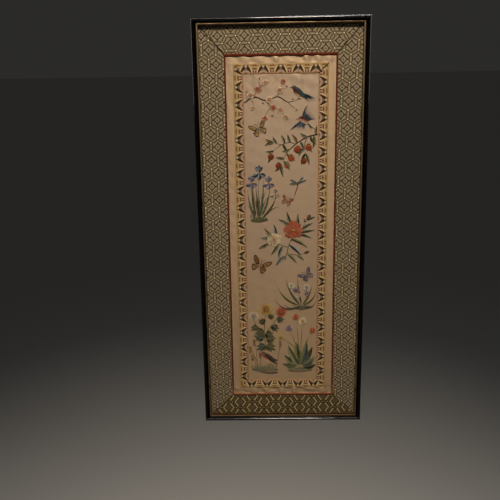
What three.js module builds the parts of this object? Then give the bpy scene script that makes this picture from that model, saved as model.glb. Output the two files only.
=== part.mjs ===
// Framed embroidery: a long silk panel, bordered with ribbon, piping and brocade,
// in a narrow black lacquered frame with a gilt slip. It hangs upright on a wall.
// Millimetres, +Z up, the front faces -Y and the wall is the plane y = 0.
// The origin is at the middle of the top rail's flat back.
import * as THREE from 'three';

// Frame
const FRAME_W = 328;
const FRAME_H = 821;
const FRAME_D = 19;
const RAIL_W = 13;
const REBATE_W = 7;
const BEAD_R = 2.8;
const LIP_BACK = 10.7;
const LIP_FRONT = 13.7;
const COVE_END = 8.7;
const COVE_EASE = { u: 6, v: 13.9 };

// Gilt slip
const SLIP_W = 4;
const SLIP_SIDE = 0.7;
const SLIP_CROWN = 0.8;

// Layers of the picture, as distances from the wall
const GAP = 0.3;
const SEAT_CLEARANCE = 0.5;
const BOARD_T = 5;
const BROCADE_T = 1.2;
const SATIN_T = 1;
const RIBBON_T = 1;
const PIPING_W = 2.6;
const PIPING_T = 2.2;
const BROCADE_FRONT = LIP_BACK - GAP;
const CLOTH_BACK = BROCADE_FRONT - BROCADE_T;
const BOARD_FRONT = CLOTH_BACK - GAP;
const SATIN_FRONT = CLOTH_BACK + SATIN_T;

// Borders, measured on the face: the brocade reaches from the rebate to the piping
const BROCADE_SIDE = 58.7;
const BROCADE_TOP = 65.2;
const BROCADE_BOTTOM = 57.4;
const MARGIN_SIDE = 13.6;
const MARGIN_TOP = 14.6;
const MARGIN_BOTTOM = 14.2;
const RIBBON_W = 19;

// The satin's grid: column width, rows below the ribbon, and rows across the top margin
const COLUMN_W = 4;
const FIELD_ROWS = [220, 70, 58, 46, 38, 30, 23, 17, 11, 6, 2, 0];
const MARGIN_ROWS = [0, 0.2, 0.4, 0.6, 0.8, 1];

// Puckers of the satin: where, how wide, how high, and how far below the ribbon they run
const MARGIN_PUCKERS = [
  { x: -83, width: 7, height: 0.5 },
  { x: -61, width: 6, height: 0.6 },
  { x: -38, width: 8, height: 0.5 },
  { x: -9, width: 6, height: 0.7 },
  { x: 17, width: 7, height: 0.5 },
  { x: 45, width: 6, height: 0.6 },
  { x: 72, width: 8, height: 0.6 },
];
const FIELD_PUCKERS = [
  { x: -47, width: 9, height: 0.6, reach: 46 },
  { x: -20, width: 8, height: 0.5, reach: 30 },
  { x: 8, width: 10, height: 0.6, reach: 58 },
  { x: 36, width: 8, height: 0.5, reach: 34 },
  { x: 56, width: 7, height: 0.4, reach: 70 },
];

// Finishes
const LACQUER = new THREE.MeshStandardMaterial({ color: 0x0c0b0b, roughness: 0.25, metalness: 0 });
const GILT = new THREE.MeshStandardMaterial({ color: 0x9a7a4e, roughness: 0.45, metalness: 0.6 });
const BOARD = new THREE.MeshStandardMaterial({ color: 0x8a765a, roughness: 0.9, metalness: 0 });
const BROCADE = new THREE.MeshStandardMaterial({ color: 0x7d6c4d, roughness: 0.7, metalness: 0 });
const PIPING = new THREE.MeshStandardMaterial({ color: 0x5d1f1a, roughness: 0.6, metalness: 0 });
const SATIN = new THREE.MeshStandardMaterial({ color: 0xc8ab84, roughness: 0.45, metalness: 0 });
const RIBBON = new THREE.MeshStandardMaterial({ color: 0xb08a4c, roughness: 0.7, metalness: 0 });

// Rectangles on the face, measured from the frame's middle
const inset = (r, side, top = side, bottom = top) => ({
  left: r.left + side,
  right: r.right - side,
  top: r.top - top,
  bottom: r.bottom + bottom,
});
const frameRect = { left: -FRAME_W / 2, right: FRAME_W / 2, top: FRAME_H / 2, bottom: -FRAME_H / 2 };
const sightRect = inset(frameRect, RAIL_W);
const slipRect = inset(sightRect, -SLIP_W);
const seatRect = inset(frameRect, REBATE_W + SEAT_CLEARANCE);
const pipingRect = inset(frameRect, BROCADE_SIDE, BROCADE_TOP, BROCADE_BOTTOM);
const brocadeInner = inset(pipingRect, -GAP);
const pipingInner = inset(pipingRect, PIPING_W);
const satinRect = inset(pipingInner, GAP);
const ribbonRect = inset(pipingInner, MARGIN_SIDE, MARGIN_TOP, MARGIN_BOTTOM);
const fieldRect = inset(ribbonRect, RIBBON_W);

// The four sides are made as the top one and turned round the Y axis
const SIDES = [
  { name: 'top', turn: 0, see: (r) => ({ out: r.top, lo: r.left, hi: r.right }) },
  { name: 'right', turn: Math.PI / 2, see: (r) => ({ out: r.right, lo: -r.top, hi: -r.bottom }) },
  { name: 'bottom', turn: Math.PI, see: (r) => ({ out: -r.bottom, lo: -r.right, hi: -r.left }) },
  { name: 'left', turn: -Math.PI / 2, see: (r) => ({ out: -r.left, lo: r.bottom, hi: r.top }) },
];

// Section of the moulding: u runs from the outer edge inwards, v from the wall forwards
function railSection() {
  const shape = new THREE.Shape();
  const beadV = FRAME_D - BEAD_R;
  shape.moveTo(0, 0);
  shape.lineTo(0, beadV);
  shape.absarc(BEAD_R, beadV, BEAD_R, Math.PI, 0, true);
  shape.quadraticCurveTo(COVE_EASE.u, COVE_EASE.v, COVE_END, LIP_FRONT);
  shape.lineTo(RAIL_W, LIP_FRONT);
  shape.lineTo(RAIL_W, LIP_BACK);
  shape.lineTo(REBATE_W, LIP_BACK);
  shape.lineTo(REBATE_W, 0);
  shape.closePath();
  return shape;
}

function slipSection() {
  const shape = new THREE.Shape();
  const base = LIP_FRONT + GAP;
  const shoulder = base + SLIP_SIDE;
  shape.moveTo(0, base);
  shape.lineTo(0, shoulder);
  shape.absellipse(SLIP_W / 2, shoulder, SLIP_W / 2, SLIP_CROWN, Math.PI, 0, true);
  shape.lineTo(SLIP_W, base);
  shape.closePath();
  return shape;
}

function pipingSection() {
  const shape = new THREE.Shape();
  const shoulder = CLOTH_BACK + PIPING_T / 2;
  shape.moveTo(0, CLOTH_BACK);
  shape.lineTo(0, shoulder);
  shape.absellipse(PIPING_W / 2, shoulder, PIPING_W / 2, PIPING_T / 2, Math.PI, 0, true);
  shape.lineTo(PIPING_W, CLOTH_BACK);
  shape.closePath();
  return shape;
}

function flatSection(width, back, thickness) {
  const shape = new THREE.Shape();
  shape.moveTo(0, back);
  shape.lineTo(0, back + thickness);
  shape.lineTo(width, back + thickness);
  shape.lineTo(width, back);
  shape.closePath();
  return shape;
}

// A strip between two rectangles, its ends cut along the lines that join their corners
function mitredStrip(section, side, outer, inner) {
  const geometry = new THREE.ExtrudeGeometry(section, {
    depth: 1,
    bevelEnabled: false,
    curveSegments: 8,
  });
  const o = side.see(outer);
  const i = side.see(inner);
  const width = o.out - i.out;
  const endGap = (seam) => (GAP / 2) * Math.hypot(1, seam / width);
  const lo = (u) => THREE.MathUtils.lerp(o.lo, i.lo, u / width) + endGap(i.lo - o.lo);
  const hi = (u) => THREE.MathUtils.lerp(o.hi, i.hi, u / width) - endGap(o.hi - i.hi);
  const points = geometry.attributes.position;
  for (let n = 0; n < points.count; n += 1) {
    const u = points.getX(n);
    const v = points.getY(n);
    const t = points.getZ(n);
    const along = THREE.MathUtils.lerp(hi(u), lo(u), t);
    points.setXYZ(n, along, -v, o.out - u);
  }
  geometry.computeVertexNormals();
  return geometry;
}

// Height of the satin's puckers: none at the edges and none under the ribbon
function bell(distance, width) {
  const part = Math.min(Math.abs(distance) / width, 1);
  return Math.cos(part * Math.PI / 2) ** 2;
}

function satinLift(x, z) {
  const inMargin = THREE.MathUtils.clamp((satinRect.top - z) / (satinRect.top - ribbonRect.top), 0, 1);
  let lift = 0;
  for (const p of MARGIN_PUCKERS) {
    lift += p.height * bell(x - p.x, p.width) * Math.sin(Math.PI * inMargin) ** 2;
  }
  for (const p of FIELD_PUCKERS) {
    const down = THREE.MathUtils.clamp((fieldRect.top - z) / p.reach, 0, 1);
    lift += p.height * bell(x - p.x, p.width) * Math.sin(Math.PI * Math.sqrt(down));
  }
  return lift;
}

// Rows of the satin's grid, close together only where it puckers
function satinRows() {
  const rows = [satinRect.bottom, fieldRect.bottom];
  for (const below of FIELD_ROWS) {
    rows.push(fieldRect.top - below);
  }
  const margin = satinRect.top - ribbonRect.top;
  for (const part of MARGIN_ROWS) {
    rows.push(ribbonRect.top + part * margin);
  }
  return rows;
}

function satinGeometry() {
  const width = satinRect.right - satinRect.left;
  const columns = Math.round(width / COLUMN_W);
  const rows = satinRows();
  const steps = rows.length - 1;
  const geometry = new THREE.BoxGeometry(columns, SATIN_T, steps, columns, 1, steps);
  const points = geometry.attributes.position;
  for (let n = 0; n < points.count; n += 1) {
    const x = points.getX(n) / columns * width;
    const z = rows[Math.round(points.getZ(n) + steps / 2)];
    const front = points.getY(n) < 0;
    const v = front ? SATIN_FRONT + satinLift(x, z) : CLOTH_BACK;
    points.setXYZ(n, x, -v, z);
  }
  geometry.computeVertexNormals();
  return geometry;
}

function boardGeometry() {
  const width = seatRect.right - seatRect.left;
  const height = seatRect.top - seatRect.bottom;
  return new THREE.BoxGeometry(width, BOARD_T, height);
}

function addMesh(parent, name, geometry, material) {
  const mesh = new THREE.Mesh(geometry, material);
  mesh.name = name;
  parent.add(mesh);
  return mesh;
}

// What every side has: rail, slip, brocade, piping and ribbon
function makeSide(side) {
  const group = new THREE.Group();
  group.rotation.y = side.turn;
  const width = (outer, inner) => side.see(outer).out - side.see(inner).out;

  addMesh(group, `rail_${side.name}`, mitredStrip(railSection(), side, frameRect, sightRect), LACQUER);
  addMesh(group, `slip_${side.name}`, mitredStrip(slipSection(), side, slipRect, sightRect), GILT);

  const brocadeWidth = width(seatRect, brocadeInner);
  const brocade = flatSection(brocadeWidth, CLOTH_BACK, BROCADE_T);
  addMesh(group, `brocade_${side.name}`, mitredStrip(brocade, side, seatRect, brocadeInner), BROCADE);

  const piping = mitredStrip(pipingSection(), side, pipingRect, pipingInner);
  addMesh(group, `piping_${side.name}`, piping, PIPING);

  const ribbon = flatSection(RIBBON_W, SATIN_FRONT + GAP, RIBBON_T);
  addMesh(group, `ribbon_${side.name}`, mitredStrip(ribbon, side, ribbonRect, fieldRect), RIBBON);
  return group;
}

const model = new THREE.Group();
const face = new THREE.Group();
face.position.z = REBATE_W / 2 - FRAME_H / 2;
model.add(face);
for (const side of SIDES) {
  face.add(makeSide(side));
}
const board = addMesh(face, 'backing_board', boardGeometry(), BOARD);
board.position.y = BOARD_T / 2 - BOARD_FRONT;
addMesh(face, 'satin_panel', satinGeometry(), SATIN);

export default model;
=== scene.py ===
"""Framed embroidery: the looks of a long silk panel with ribbon, piping and brocade borders,
in a black lacquered frame with a gilt slip. Sizes are in millimetres until a mesh is made."""
import math
import random

import bmesh
import bpy
import numpy as np
from mathutils import Matrix, Vector


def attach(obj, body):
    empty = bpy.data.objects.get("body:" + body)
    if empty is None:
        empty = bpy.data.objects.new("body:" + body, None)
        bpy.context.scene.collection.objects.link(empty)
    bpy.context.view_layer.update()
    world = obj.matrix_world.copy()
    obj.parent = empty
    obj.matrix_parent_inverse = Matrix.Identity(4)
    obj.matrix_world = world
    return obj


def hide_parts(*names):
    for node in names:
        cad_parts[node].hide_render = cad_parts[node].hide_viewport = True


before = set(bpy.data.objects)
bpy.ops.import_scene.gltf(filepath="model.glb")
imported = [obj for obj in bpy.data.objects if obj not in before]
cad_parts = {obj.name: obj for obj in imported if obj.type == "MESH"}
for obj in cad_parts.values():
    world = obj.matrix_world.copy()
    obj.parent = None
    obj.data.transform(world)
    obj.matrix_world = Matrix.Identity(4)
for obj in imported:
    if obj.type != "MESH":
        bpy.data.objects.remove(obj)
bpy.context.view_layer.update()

# The frame, as in the solids
FRAME_W, FRAME_H, FRAME_D = 328.0, 821.0, 19.0
RAIL_W, REBATE_W, BEAD_R = 13.0, 7.0, 2.8
LIP_BACK, LIP_FRONT = 10.7, 13.7
COVE_END, COVE_EASE = 8.7, (6.0, 13.9)
SLIP_W, SLIP_SIDE, SLIP_CROWN = 4.0, 0.7, 0.8

# Layers, as distances from the wall
GAP = 0.3
BROCADE_FRONT = LIP_BACK - GAP
CLOTH_BACK = BROCADE_FRONT - 1.2
SATIN_FRONT = CLOTH_BACK + 1.0
RIBBON_LIES = SATIN_FRONT + 0.04
RIBBON_T = 0.5
PIPING_W, PIPING_T = 2.6, 2.2
RIBBON_W = 19.0
JOINT_GAP, RIBBON_GAP = 0.12, 0.2

# The face's middle stands this far above the row's origin
FACE_Z = REBATE_W / 2 - FRAME_H / 2
# A millimetre, in Blender's metres
MM = 0.001


class Rect:
    """A rectangle on the face, measured from the frame's middle."""

    def __init__(self, left, right, top, bottom):
        self.left, self.right, self.top, self.bottom = left, right, top, bottom

    def inset(self, side, top=None, bottom=None):
        """A rectangle further in all round: by side, unless top or bottom say otherwise there."""
        top = side if top is None else top
        bottom = top if bottom is None else bottom
        return Rect(self.left + side, self.right - side, self.top - top, self.bottom + bottom)


FRAME = Rect(-FRAME_W / 2, FRAME_W / 2, FRAME_H / 2, -FRAME_H / 2)
SIGHT = FRAME.inset(RAIL_W)
SLIP = SIGHT.inset(-SLIP_W)
SEAT = FRAME.inset(REBATE_W + 0.5)
PIPING = FRAME.inset(58.7, 65.2, 57.4)
BROCADE_INNER = PIPING.inset(-GAP)
PIPING_INNER = PIPING.inset(PIPING_W)
SATIN = PIPING_INNER.inset(GAP)
RIBBON = PIPING_INNER.inset(13.6, 14.6, 14.2)
FIELD = RIBBON.inset(RIBBON_W)

# The satin's puckers, as in the solids: place, half width and height, and how far down the field's reach.
# The cloth here rises by a share of these heights
MARGIN_SHARE, FIELD_SHARE = 0.6, 0.4
MARGIN_PUCKERS = (
    (-83, 7, 0.5), (-61, 6, 0.6), (-38, 8, 0.5), (-9, 6, 0.7), (17, 7, 0.5), (45, 6, 0.6), (72, 8, 0.6),
)
FIELD_PUCKERS = (
    (-47, 9, 0.6, 46), (-20, 8, 0.5, 30), (8, 10, 0.6, 58), (36, 8, 0.5, 34), (56, 7, 0.4, 70),
)

# Thread and yarn colours, as sRGB
TONES = {
    "charcoal": "2b2622", "black": "1b1816", "olive": "4d4a2a", "moss": "6b673a", "sage": "8a8a62",
    "teal": "3f5550", "slate": "4d5a66", "mist": "8d979c", "navy": "2b3340", "brown": "4c3426",
    "umber": "6b4a30", "rust": "8c3f22", "flame": "b4502a", "coral": "b86a4c", "blush": "c79a86",
    "wine": "6a2a26", "mauve": "7d6272", "lilac": "a08f9a", "gold": "a9823f", "straw": "c2a765",
    "cream": "d8c6a0", "pearl": "cfc6b4",
}


def linear(tone):
    """An sRGB tone, by name or as hex, in linear light."""
    digits = TONES.get(tone, tone)
    parts = [int(digits[i:i + 2], 16) / 255 for i in (0, 2, 4)]
    return tuple(c / 12.92 if c <= 0.04045 else ((c + 0.055) / 1.055) ** 2.4 for c in parts) + (1.0,)


# Node trees
class Value:
    """A number, colour or place that a material's nodes work out. Sums of values are nodes too."""

    def __init__(self, tree, socket):
        self.tree, self.socket = tree, socket

    def __add__(self, other):
        return self.tree.math("ADD", self, other)

    def __sub__(self, other):
        return self.tree.math("SUBTRACT", self, other)

    def __rsub__(self, other):
        return self.tree.math("SUBTRACT", other, self)

    def __mul__(self, other):
        return self.tree.math("MULTIPLY", self, other)

    def __truediv__(self, other):
        return self.tree.math("DIVIDE", self, other)

    def __abs__(self):
        return self.tree.math("ABSOLUTE", self)


class Tree:
    """A material's nodes, with short names for the kinds used here."""

    def __init__(self, name, **settings):
        self.material = bpy.data.materials.new(name)
        self.material.use_nodes = True
        self.tree = self.material.node_tree
        self.shader = self.tree.nodes["Principled BSDF"]
        for socket, value in settings.items():
            self.shader.inputs[socket.replace("_", " ")].default_value = value

    def put(self, kind, inputs=None, output=0, **settings):
        """A new node with its inputs, as numbers, tones or values. It gives one of its outputs."""
        node = self.tree.nodes.new(kind)
        for key, value in settings.items():
            setattr(node, key, value)
        for key, value in (inputs or {}).items():
            if isinstance(value, Value):
                self.tree.links.new(value.socket, node.inputs[key])
            else:
                node.inputs[key].default_value = linear(value) if isinstance(value, str) else value
        return Value(self, node.outputs[output])

    def math(self, operation, *values):
        return self.put("ShaderNodeMath", dict(enumerate(values)), operation=operation)

    def stripes(self, value, pitch):
        """Waves from -1 to 1, a pitch apart."""
        return self.math("SINE", value * (2 * math.pi / pitch))

    def uv(self, name):
        return self.put("ShaderNodeUVMap", uv_map=name)

    def parts(self, place):
        """The three coordinates of a place."""
        return [self.put("ShaderNodeSeparateXYZ", {0: place}, output=axis) for axis in range(3)]

    def place(self):
        """Where a point is on the piece, in metres."""
        return self.put("ShaderNodeTexCoord", output=3)

    def attribute(self, name, output=2):
        """What the mesh keeps under a name: a number, or its colour at output 0."""
        return self.put("ShaderNodeAttribute", output=output, attribute_name=name)

    def noise(self, place, scale, detail=3.0, roughness=0.5, stretch=(1.0, 1.0, 1.0)):
        place = self.put("ShaderNodeMapping", {0: place, 3: stretch}, vector_type="POINT")
        return self.put("ShaderNodeTexNoise", {
            "Vector": place, "Scale": scale, "Detail": detail, "Roughness": roughness})

    def mix(self, share, a, b, blend="MIX"):
        """A colour between two, which are tones or values."""
        return self.put(
            "ShaderNodeMix", {0: share, 6: a, 7: b}, output=2, data_type="RGBA", blend_type=blend)

    def blend(self, share, a, b):
        """A number between two."""
        return self.put("ShaderNodeMix", {0: share, 2: a, 3: b}, data_type="FLOAT")

    def ramp(self, value, low, high, start=0.0, end=1.0):
        return self.put("ShaderNodeMapRange", {0: value, 1: low, 2: high, 3: start, 4: end})

    def tinted(self, colour, value, low, high):
        """A colour made lighter and darker, from low to high, as value goes from 0 to 1."""
        grey = self.ramp(value, 0.0, 1.0, low, high)
        grey = self.put("ShaderNodeCombineColor", {0: grey, 1: grey, 2: grey})
        return self.mix(1.0, colour, grey, "MULTIPLY")

    def drive(self, socket, value):
        self.tree.links.new(value.socket, self.shader.inputs[socket])

    def finished(self, colour, roughness, height, strength, depth):
        """The material, once its colour, roughness and bump are joined to its shader."""
        self.drive("Base Color", colour)
        self.drive("Roughness", roughness)
        bump = {"Strength": strength, "Distance": depth, "Height": height}
        self.drive("Normal", self.put("ShaderNodeBump", bump))
        return self.material


def lacquer_material():
    """Black lacquer over wood: glossy but for the dusty cove, with brown wear at the edges."""
    t = Tree("lacquer", Coat_Roughness=0.07)
    place = t.place()
    wide = t.noise(place, 30.0, 4.0)
    fine = t.noise(place, 900.0, 3.0, 0.6)
    wear_and_shade = t.ramp(t.attribute("edge") + wide * 0.5, 1.05, 1.3)
    girth = t.parts(t.uv("cloth"))[1]
    gloss = t.ramp(girth, 23.2, 24.6, 1.0, 0.12)
    t.drive("Coat Weight", gloss * 0.6)
    t.drive("Specular IOR Level", gloss * 0.15)
    base = t.mix(wear_and_shade, t.tinted("060505", wide, 0.7, 1.4), "3a2618")
    dust = t.ramp(fine, 0.45, 0.8, 0.2, 0.42)
    return t.finished(base, t.blend(wear_and_shade, dust, 0.6), fine + wide, 0.12, 0.0002)


def gilt_material():
    """Gilt slip, with the red clay showing where it is rubbed. Its dulling by side is partly wear and
    partly painted shade, and its dark red-brown sides are partly the clay and partly painted shade.
    """
    t = Tree("gilt", Metallic=1.0, Specular_IOR_Level=0.5)
    place = t.place()
    wide = t.noise(place, 60.0, 4.0)
    fine = t.noise(place, 1500.0, 4.0, 0.65)
    girth = t.parts(t.uv("cloth"))[1]
    # Partly wear and partly painted shade: the top slip and the sides' lower ends are painted duller
    wear_and_shade = t.attribute("wear_and_shade")
    rubbed = t.ramp(wear_and_shade * 0.16 + wide * fine, 0.34, 0.46)
    # Painted shade, with the clay: both flanks of the slip's crown are painted dark red-brown
    low = t.ramp(abs(girth - 2.9) + wide, 1.9, 2.3)
    base = t.mix(wear_and_shade * 0.5, t.tinted("f6d6a2", fine, 0.75, 1.25), "5a4126")
    base = t.mix(rubbed * 0.7, base, "5a3320")
    return t.finished(t.mix(low, base, "4a2416"), t.ramp(fine, 0.2, 0.8, 0.32, 0.55), fine, 0.2, 0.0002)


def board_material():
    """Plain brown board, with its fibres and some stains."""
    t = Tree("board", Specular_IOR_Level=0.2)
    place = t.place()
    fibre = t.noise(place, 900.0, 5.0, 0.7, (1.0, 1.0, 0.15))
    stain = t.noise(place, 9.0, 4.0, 0.6)
    base = t.mix(t.ramp(stain, 0.5, 0.75, 0.0, 0.45), t.tinted("8a7455", fibre, 0.78, 1.18), "5e4a33")
    return t.finished(base, t.ramp(fibre, 0.2, 0.8, 0.75, 0.95), fibre, 0.35, 0.0004)


# The brocade's repeat: hexagons with tips 33 apart along the strip and flat sides 26.8 apart across it.
# Lens shapes lie along all their sides, bright knots at their corners, and a dark square inside
HALF_ALONG, HALF_ACROSS = 25.0, 13.4
HEX_TIP, HEX_SHOULDER = 16.5, 8.5
HEX_SLANT = (HEX_TIP - HEX_SHOULDER) / HALF_ACROSS
HEX_SIDE = math.hypot(HEX_TIP - HEX_SHOULDER, HALF_ACROSS)
SLANT_LENS, FLAT_LENS = 2.5, 2.9
SQUARE, DISC, KNOT = 7.5, 3.9, 1.3
BROCADE_THREAD = 0.36
RELIEF = {
    "ground": 0.3, "outline": 0.15, "lens": 0.6, "rib": 0.9, "square": 0.1, "disc": 0.5, "halo": 0.8,
    "band": 0.75, "knot": 1.0,
}
# The cloth's tones, plain and with painted sheen (a lit copy for the bottom strip), and its pale bands in
# each: how far they lean in, how far out they cross the hexagon's long axis, and where across it they start
# and end
BROCADE_TONES = {
    "ground": "928265", "outline": "493b1e", "lens": "807052", "rib": "a39373", "square": "3c280e",
    "disc": "7c6e5a", "halo": "a8977f", "band": "b09e7f", "knot": "fcedce",
}
BAND_PLAIN = (1.0, 10.2, 1.9, 8.3)
BROCADE_PAINTED_SHEEN = {
    "ground": "7c6b44", "outline": "2f230d", "lens": "3e3015", "rib": "73633a", "square": "402a17",
    "disc": "66503a", "halo": "6e5742", "band": "c0ac7c", "knot": "b09c66",
}
BAND_PAINTED_SHEEN = (0.66, 11.0, -1.0, 11.4)


def brocade_layers(t, a, c, band):
    """The brocade's figures from the back to the front, each with its mask.

    a is the distance from a hexagon's middle along the strip, and c the one across it."""
    def far_from(x, y):
        return t.math("SQRT", (a - x) * (a - x) + (c - y) * (c - y))

    def lens(distance, share, wide):
        """How far inside a lens's edge a point is, where share goes from -1 to 1 along the lens."""
        return (1.0 - share * share) * wide - distance

    lean = (HEX_SHOULDER - HEX_TIP) / HEX_SIDE
    middle = (HEX_TIP + HEX_SHOULDER) / 2 * lean + HALF_ACROSS ** 2 / 2 / HEX_SIDE
    run = c * (HALF_ACROSS / HEX_SIDE) + a * lean - middle
    from_slant = (HEX_TIP - (a + c * HEX_SLANT)) * (HALF_ACROSS / HEX_SIDE)
    slant_lens = lens(from_slant, run / (HEX_SIDE / 2), SLANT_LENS)
    flat_lens = lens(HALF_ACROSS - c, a / HEX_SHOULDER, FLAT_LENS)
    edge = t.math("MAXIMUM", slant_lens, flat_lens)
    square, centre = a + c, far_from(0.0, 0.0)
    tip = t.math("LESS_THAN", t.math("MINIMUM", a, c), 1.7)
    knots = t.math("MINIMUM", far_from(HEX_TIP, 0.0), far_from(HEX_SHOULDER, HALF_ACROSS))
    slope, out, low, high = band
    in_band = t.math("COMPARE", c, (low + high) / 2, (high - low) / 2)
    return (
        ("band", t.math("COMPARE", a + c * slope, out, 1.25) * in_band),
        ("square", t.math("COMPARE", square, SQUARE, 1.25)),
        ("square", t.math("COMPARE", square, SQUARE + 0.2, 1.8) * tip),
        ("disc", t.math("LESS_THAN", centre, DISC)),
        ("halo", t.math("COMPARE", centre, DISC - 1.3, 0.75)),
        ("square", t.math("LESS_THAN", centre, 0.9)),
        ("outline", t.math("GREATER_THAN", edge, -1.2)),
        ("lens", t.math("GREATER_THAN", edge, 0.5)),
        ("rib", t.math("GREATER_THAN", edge, 1.2)),
        ("knot", t.math("LESS_THAN", knots, KNOT)),
    )


def brocade_material(name, palette, band):
    """Silk brocade, charted thread by thread from the distances to the parts of its hexagons."""
    t = Tree(name, Specular_IOR_Level=0.35, Sheen_Weight=0.2, Sheen_Roughness=0.4)
    cloth = t.uv("cloth")
    u, v, _ = t.parts(cloth)
    along = t.math("PINGPONG", t.math("SNAP", u, BROCADE_THREAD), HALF_ALONG)
    across = t.math("PINGPONG", t.math("SNAP", v, BROCADE_THREAD), HALF_ACROSS)
    other = t.math("GREATER_THAN", along + across * HEX_SLANT, HEX_TIP)
    a = t.blend(other, along, HALF_ALONG - along)
    c = t.blend(other, across, HALF_ACROSS - across)
    colour, height = palette["ground"], RELIEF["ground"]
    for figure, mask in brocade_layers(t, a, c, band):
        colour = t.mix(mask, colour, palette[figure])
        height = t.blend(mask, height, RELIEF[figure])
    slub = t.noise(cloth, 1.0, 3.0, 0.6, (0.25, 2.2, 1.0))
    fleck = t.noise(cloth, 1.3, 2.0)
    shade = t.noise(cloth, 1.0, 2.0, 0.5, (0.03, 0.03, 1.0))
    for uneven, low, high in ((slub, 0.66, 1.34), (fleck, 0.75, 1.25), (shade, 0.86, 1.14)):
        colour = t.tinted(colour, uneven, low, high)
    # Painted shadow: near black along the mitres and the seam with the piping
    colour = t.mix(t.ramp(t.attribute("seam_shadow"), 0.65, 1.1, 1.0, 0.0), colour, "1d150c")
    weave = (t.stripes(v, BROCADE_THREAD) + t.stripes(u, BROCADE_THREAD)) * 0.12
    return t.finished(colour, t.ramp(height, 0.0, 1.0, 0.72, 0.42), weave + height, 0.6, 0.0003)


def piping_material():
    """Dark red silk, wound tight, with the weave showing on the bias. The foot's is painted paler, a
    painted highlight.
    """
    t = Tree("piping", Specular_IOR_Level=0.12)
    place = t.place()
    u, v, _ = t.parts(t.uv("cloth"))
    bias = t.stripes(u + v, 0.45)
    patch = t.noise(place, 130.0, 4.0, 0.6)
    # Painted highlight: the bottom length is paler, for the light its upper side catches
    foot = t.ramp(t.parts(place)[2], -0.752, -0.73, 0.8, 0.0)
    base = t.mix(foot, t.tinted("602412", patch, 0.5, 1.5), "a05f42")
    base = t.mix(t.ramp(bias, -1.0, 1.0, 0.0, 0.3), base, "7c3a20")
    return t.finished(base, t.ramp(patch, 0.2, 0.8, 0.45, 0.65), bias * 0.3 + patch, 0.5, 0.0003)


def satin_material():
    """Cream silk satin, greyer in the field, darker and yellower at the foot as painted shade, with warp
    lines and soft stains.
    """
    t = Tree("satin", Metallic=0.5, Specular_IOR_Level=0.5, Anisotropic=0.75, Anisotropic_Rotation=0.25)
    place = t.place()
    z = t.parts(place)[2]
    warp = t.noise(place, 1.0, 3.0, 0.6, (2600.0, 1.0, 40.0))
    weft = t.noise(place, 1.0, 2.0, 0.6, (60.0, 1.0, 1800.0))
    stain = t.noise(place, 14.0, 4.0, 0.55)
    mottle = t.noise(place, 95.0, 3.0, 0.6)
    base = t.mix(t.attribute("field") * t.ramp(z, -0.7, -0.4), "ba9e7d", "ae967e")
    for uneven, low, high in ((warp, 0.93, 1.07), (mottle, 0.91, 1.09), (weft, 0.95, 1.05)):
        base = t.tinted(base, uneven, low, high)
    base = t.mix(t.ramp(stain, 0.5, 0.8, 0.0, 0.35), base, "a98a65")
    # Painted shade: darker and yellower towards the bottom, where the lamp's light falls off
    base = t.mix(t.ramp(z, -0.75, -0.2, 0.4, 0.0), base, "a08258")
    t.drive("Tangent", t.put("ShaderNodeTangent", direction_type="UV_MAP", uv_map="cloth"))
    return t.finished(base, t.ramp(stain, 0.2, 0.8, 0.48, 0.56), warp + weft, 0.12, 0.0002)


def ribbon_material():
    """Woven ribbon: each float has its own colour, kept on the mesh."""
    t = Tree("ribbon", Specular_IOR_Level=0.3, Sheen_Weight=0.08, Sheen_Roughness=0.4)
    cloth = t.uv("cloth")
    u, v, _ = t.parts(cloth)
    slub = t.noise(cloth, 1.0, 3.0, 0.6, (0.5, 2.0, 1.0))
    base = t.tinted(t.attribute("yarn", 0), slub, 0.7, 1.3)
    weave = t.stripes(v, 0.33) + t.stripes(u, 0.65)
    return t.finished(base, t.ramp(slub, 0.2, 0.8, 0.5, 0.7), weave, 0.35, 0.0001)


def thread_material():
    """Silk thread: its colour is kept on the mesh, with a twist and a soft shine."""
    t = Tree("thread", Specular_IOR_Level=0.5, Sheen_Weight=0.3, Sheen_Roughness=0.3)
    u, v, _ = t.parts(t.uv("strand"))
    patch = t.noise(t.place(), 500.0, 2.0)
    base = t.tinted(t.attribute("yarn", 0), patch, 0.8, 1.2)
    return t.finished(base, t.ramp(patch, 0.2, 0.8, 0.36, 0.5), t.stripes(u + v, 0.5), 0.25, 0.0001)


# Meshes
def make_mesh(name, points, faces, material, sharp=40.0):
    """A smooth mesh object from points (x, distance from the wall, z) in millimetres on the face."""
    points = np.asarray(points, float)
    world = np.stack([points[:, 0], -points[:, 1], points[:, 2] + FACE_Z], 1) * MM
    mesh = bpy.data.meshes.new(name)
    mesh.from_pydata(world.tolist(), [], faces)
    mesh.polygons.foreach_set("use_smooth", [True] * len(mesh.polygons))
    mesh.set_sharp_from_angle(angle=math.radians(sharp))
    mesh.materials.append(material)
    piece = bpy.data.objects.new(name, mesh)
    bpy.context.scene.collection.objects.link(piece)
    return piece


def read(items, name, width=1, kind=float):
    """One measure of all the vertices, corners, faces or triangles of a mesh."""
    found = np.empty(len(items) * width, kind)
    items.foreach_get(name, found)
    return found.reshape(-1, width) if width > 1 else found


def give_uv(piece, name, values):
    """A UV map from one (u, v) for each vertex."""
    layer = piece.data.uv_layers.new(name=name)
    corners = read(piece.data.loops, "vertex_index", kind=int)
    layer.data.foreach_set("uv", np.asarray(values, float)[corners].ravel())


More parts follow.
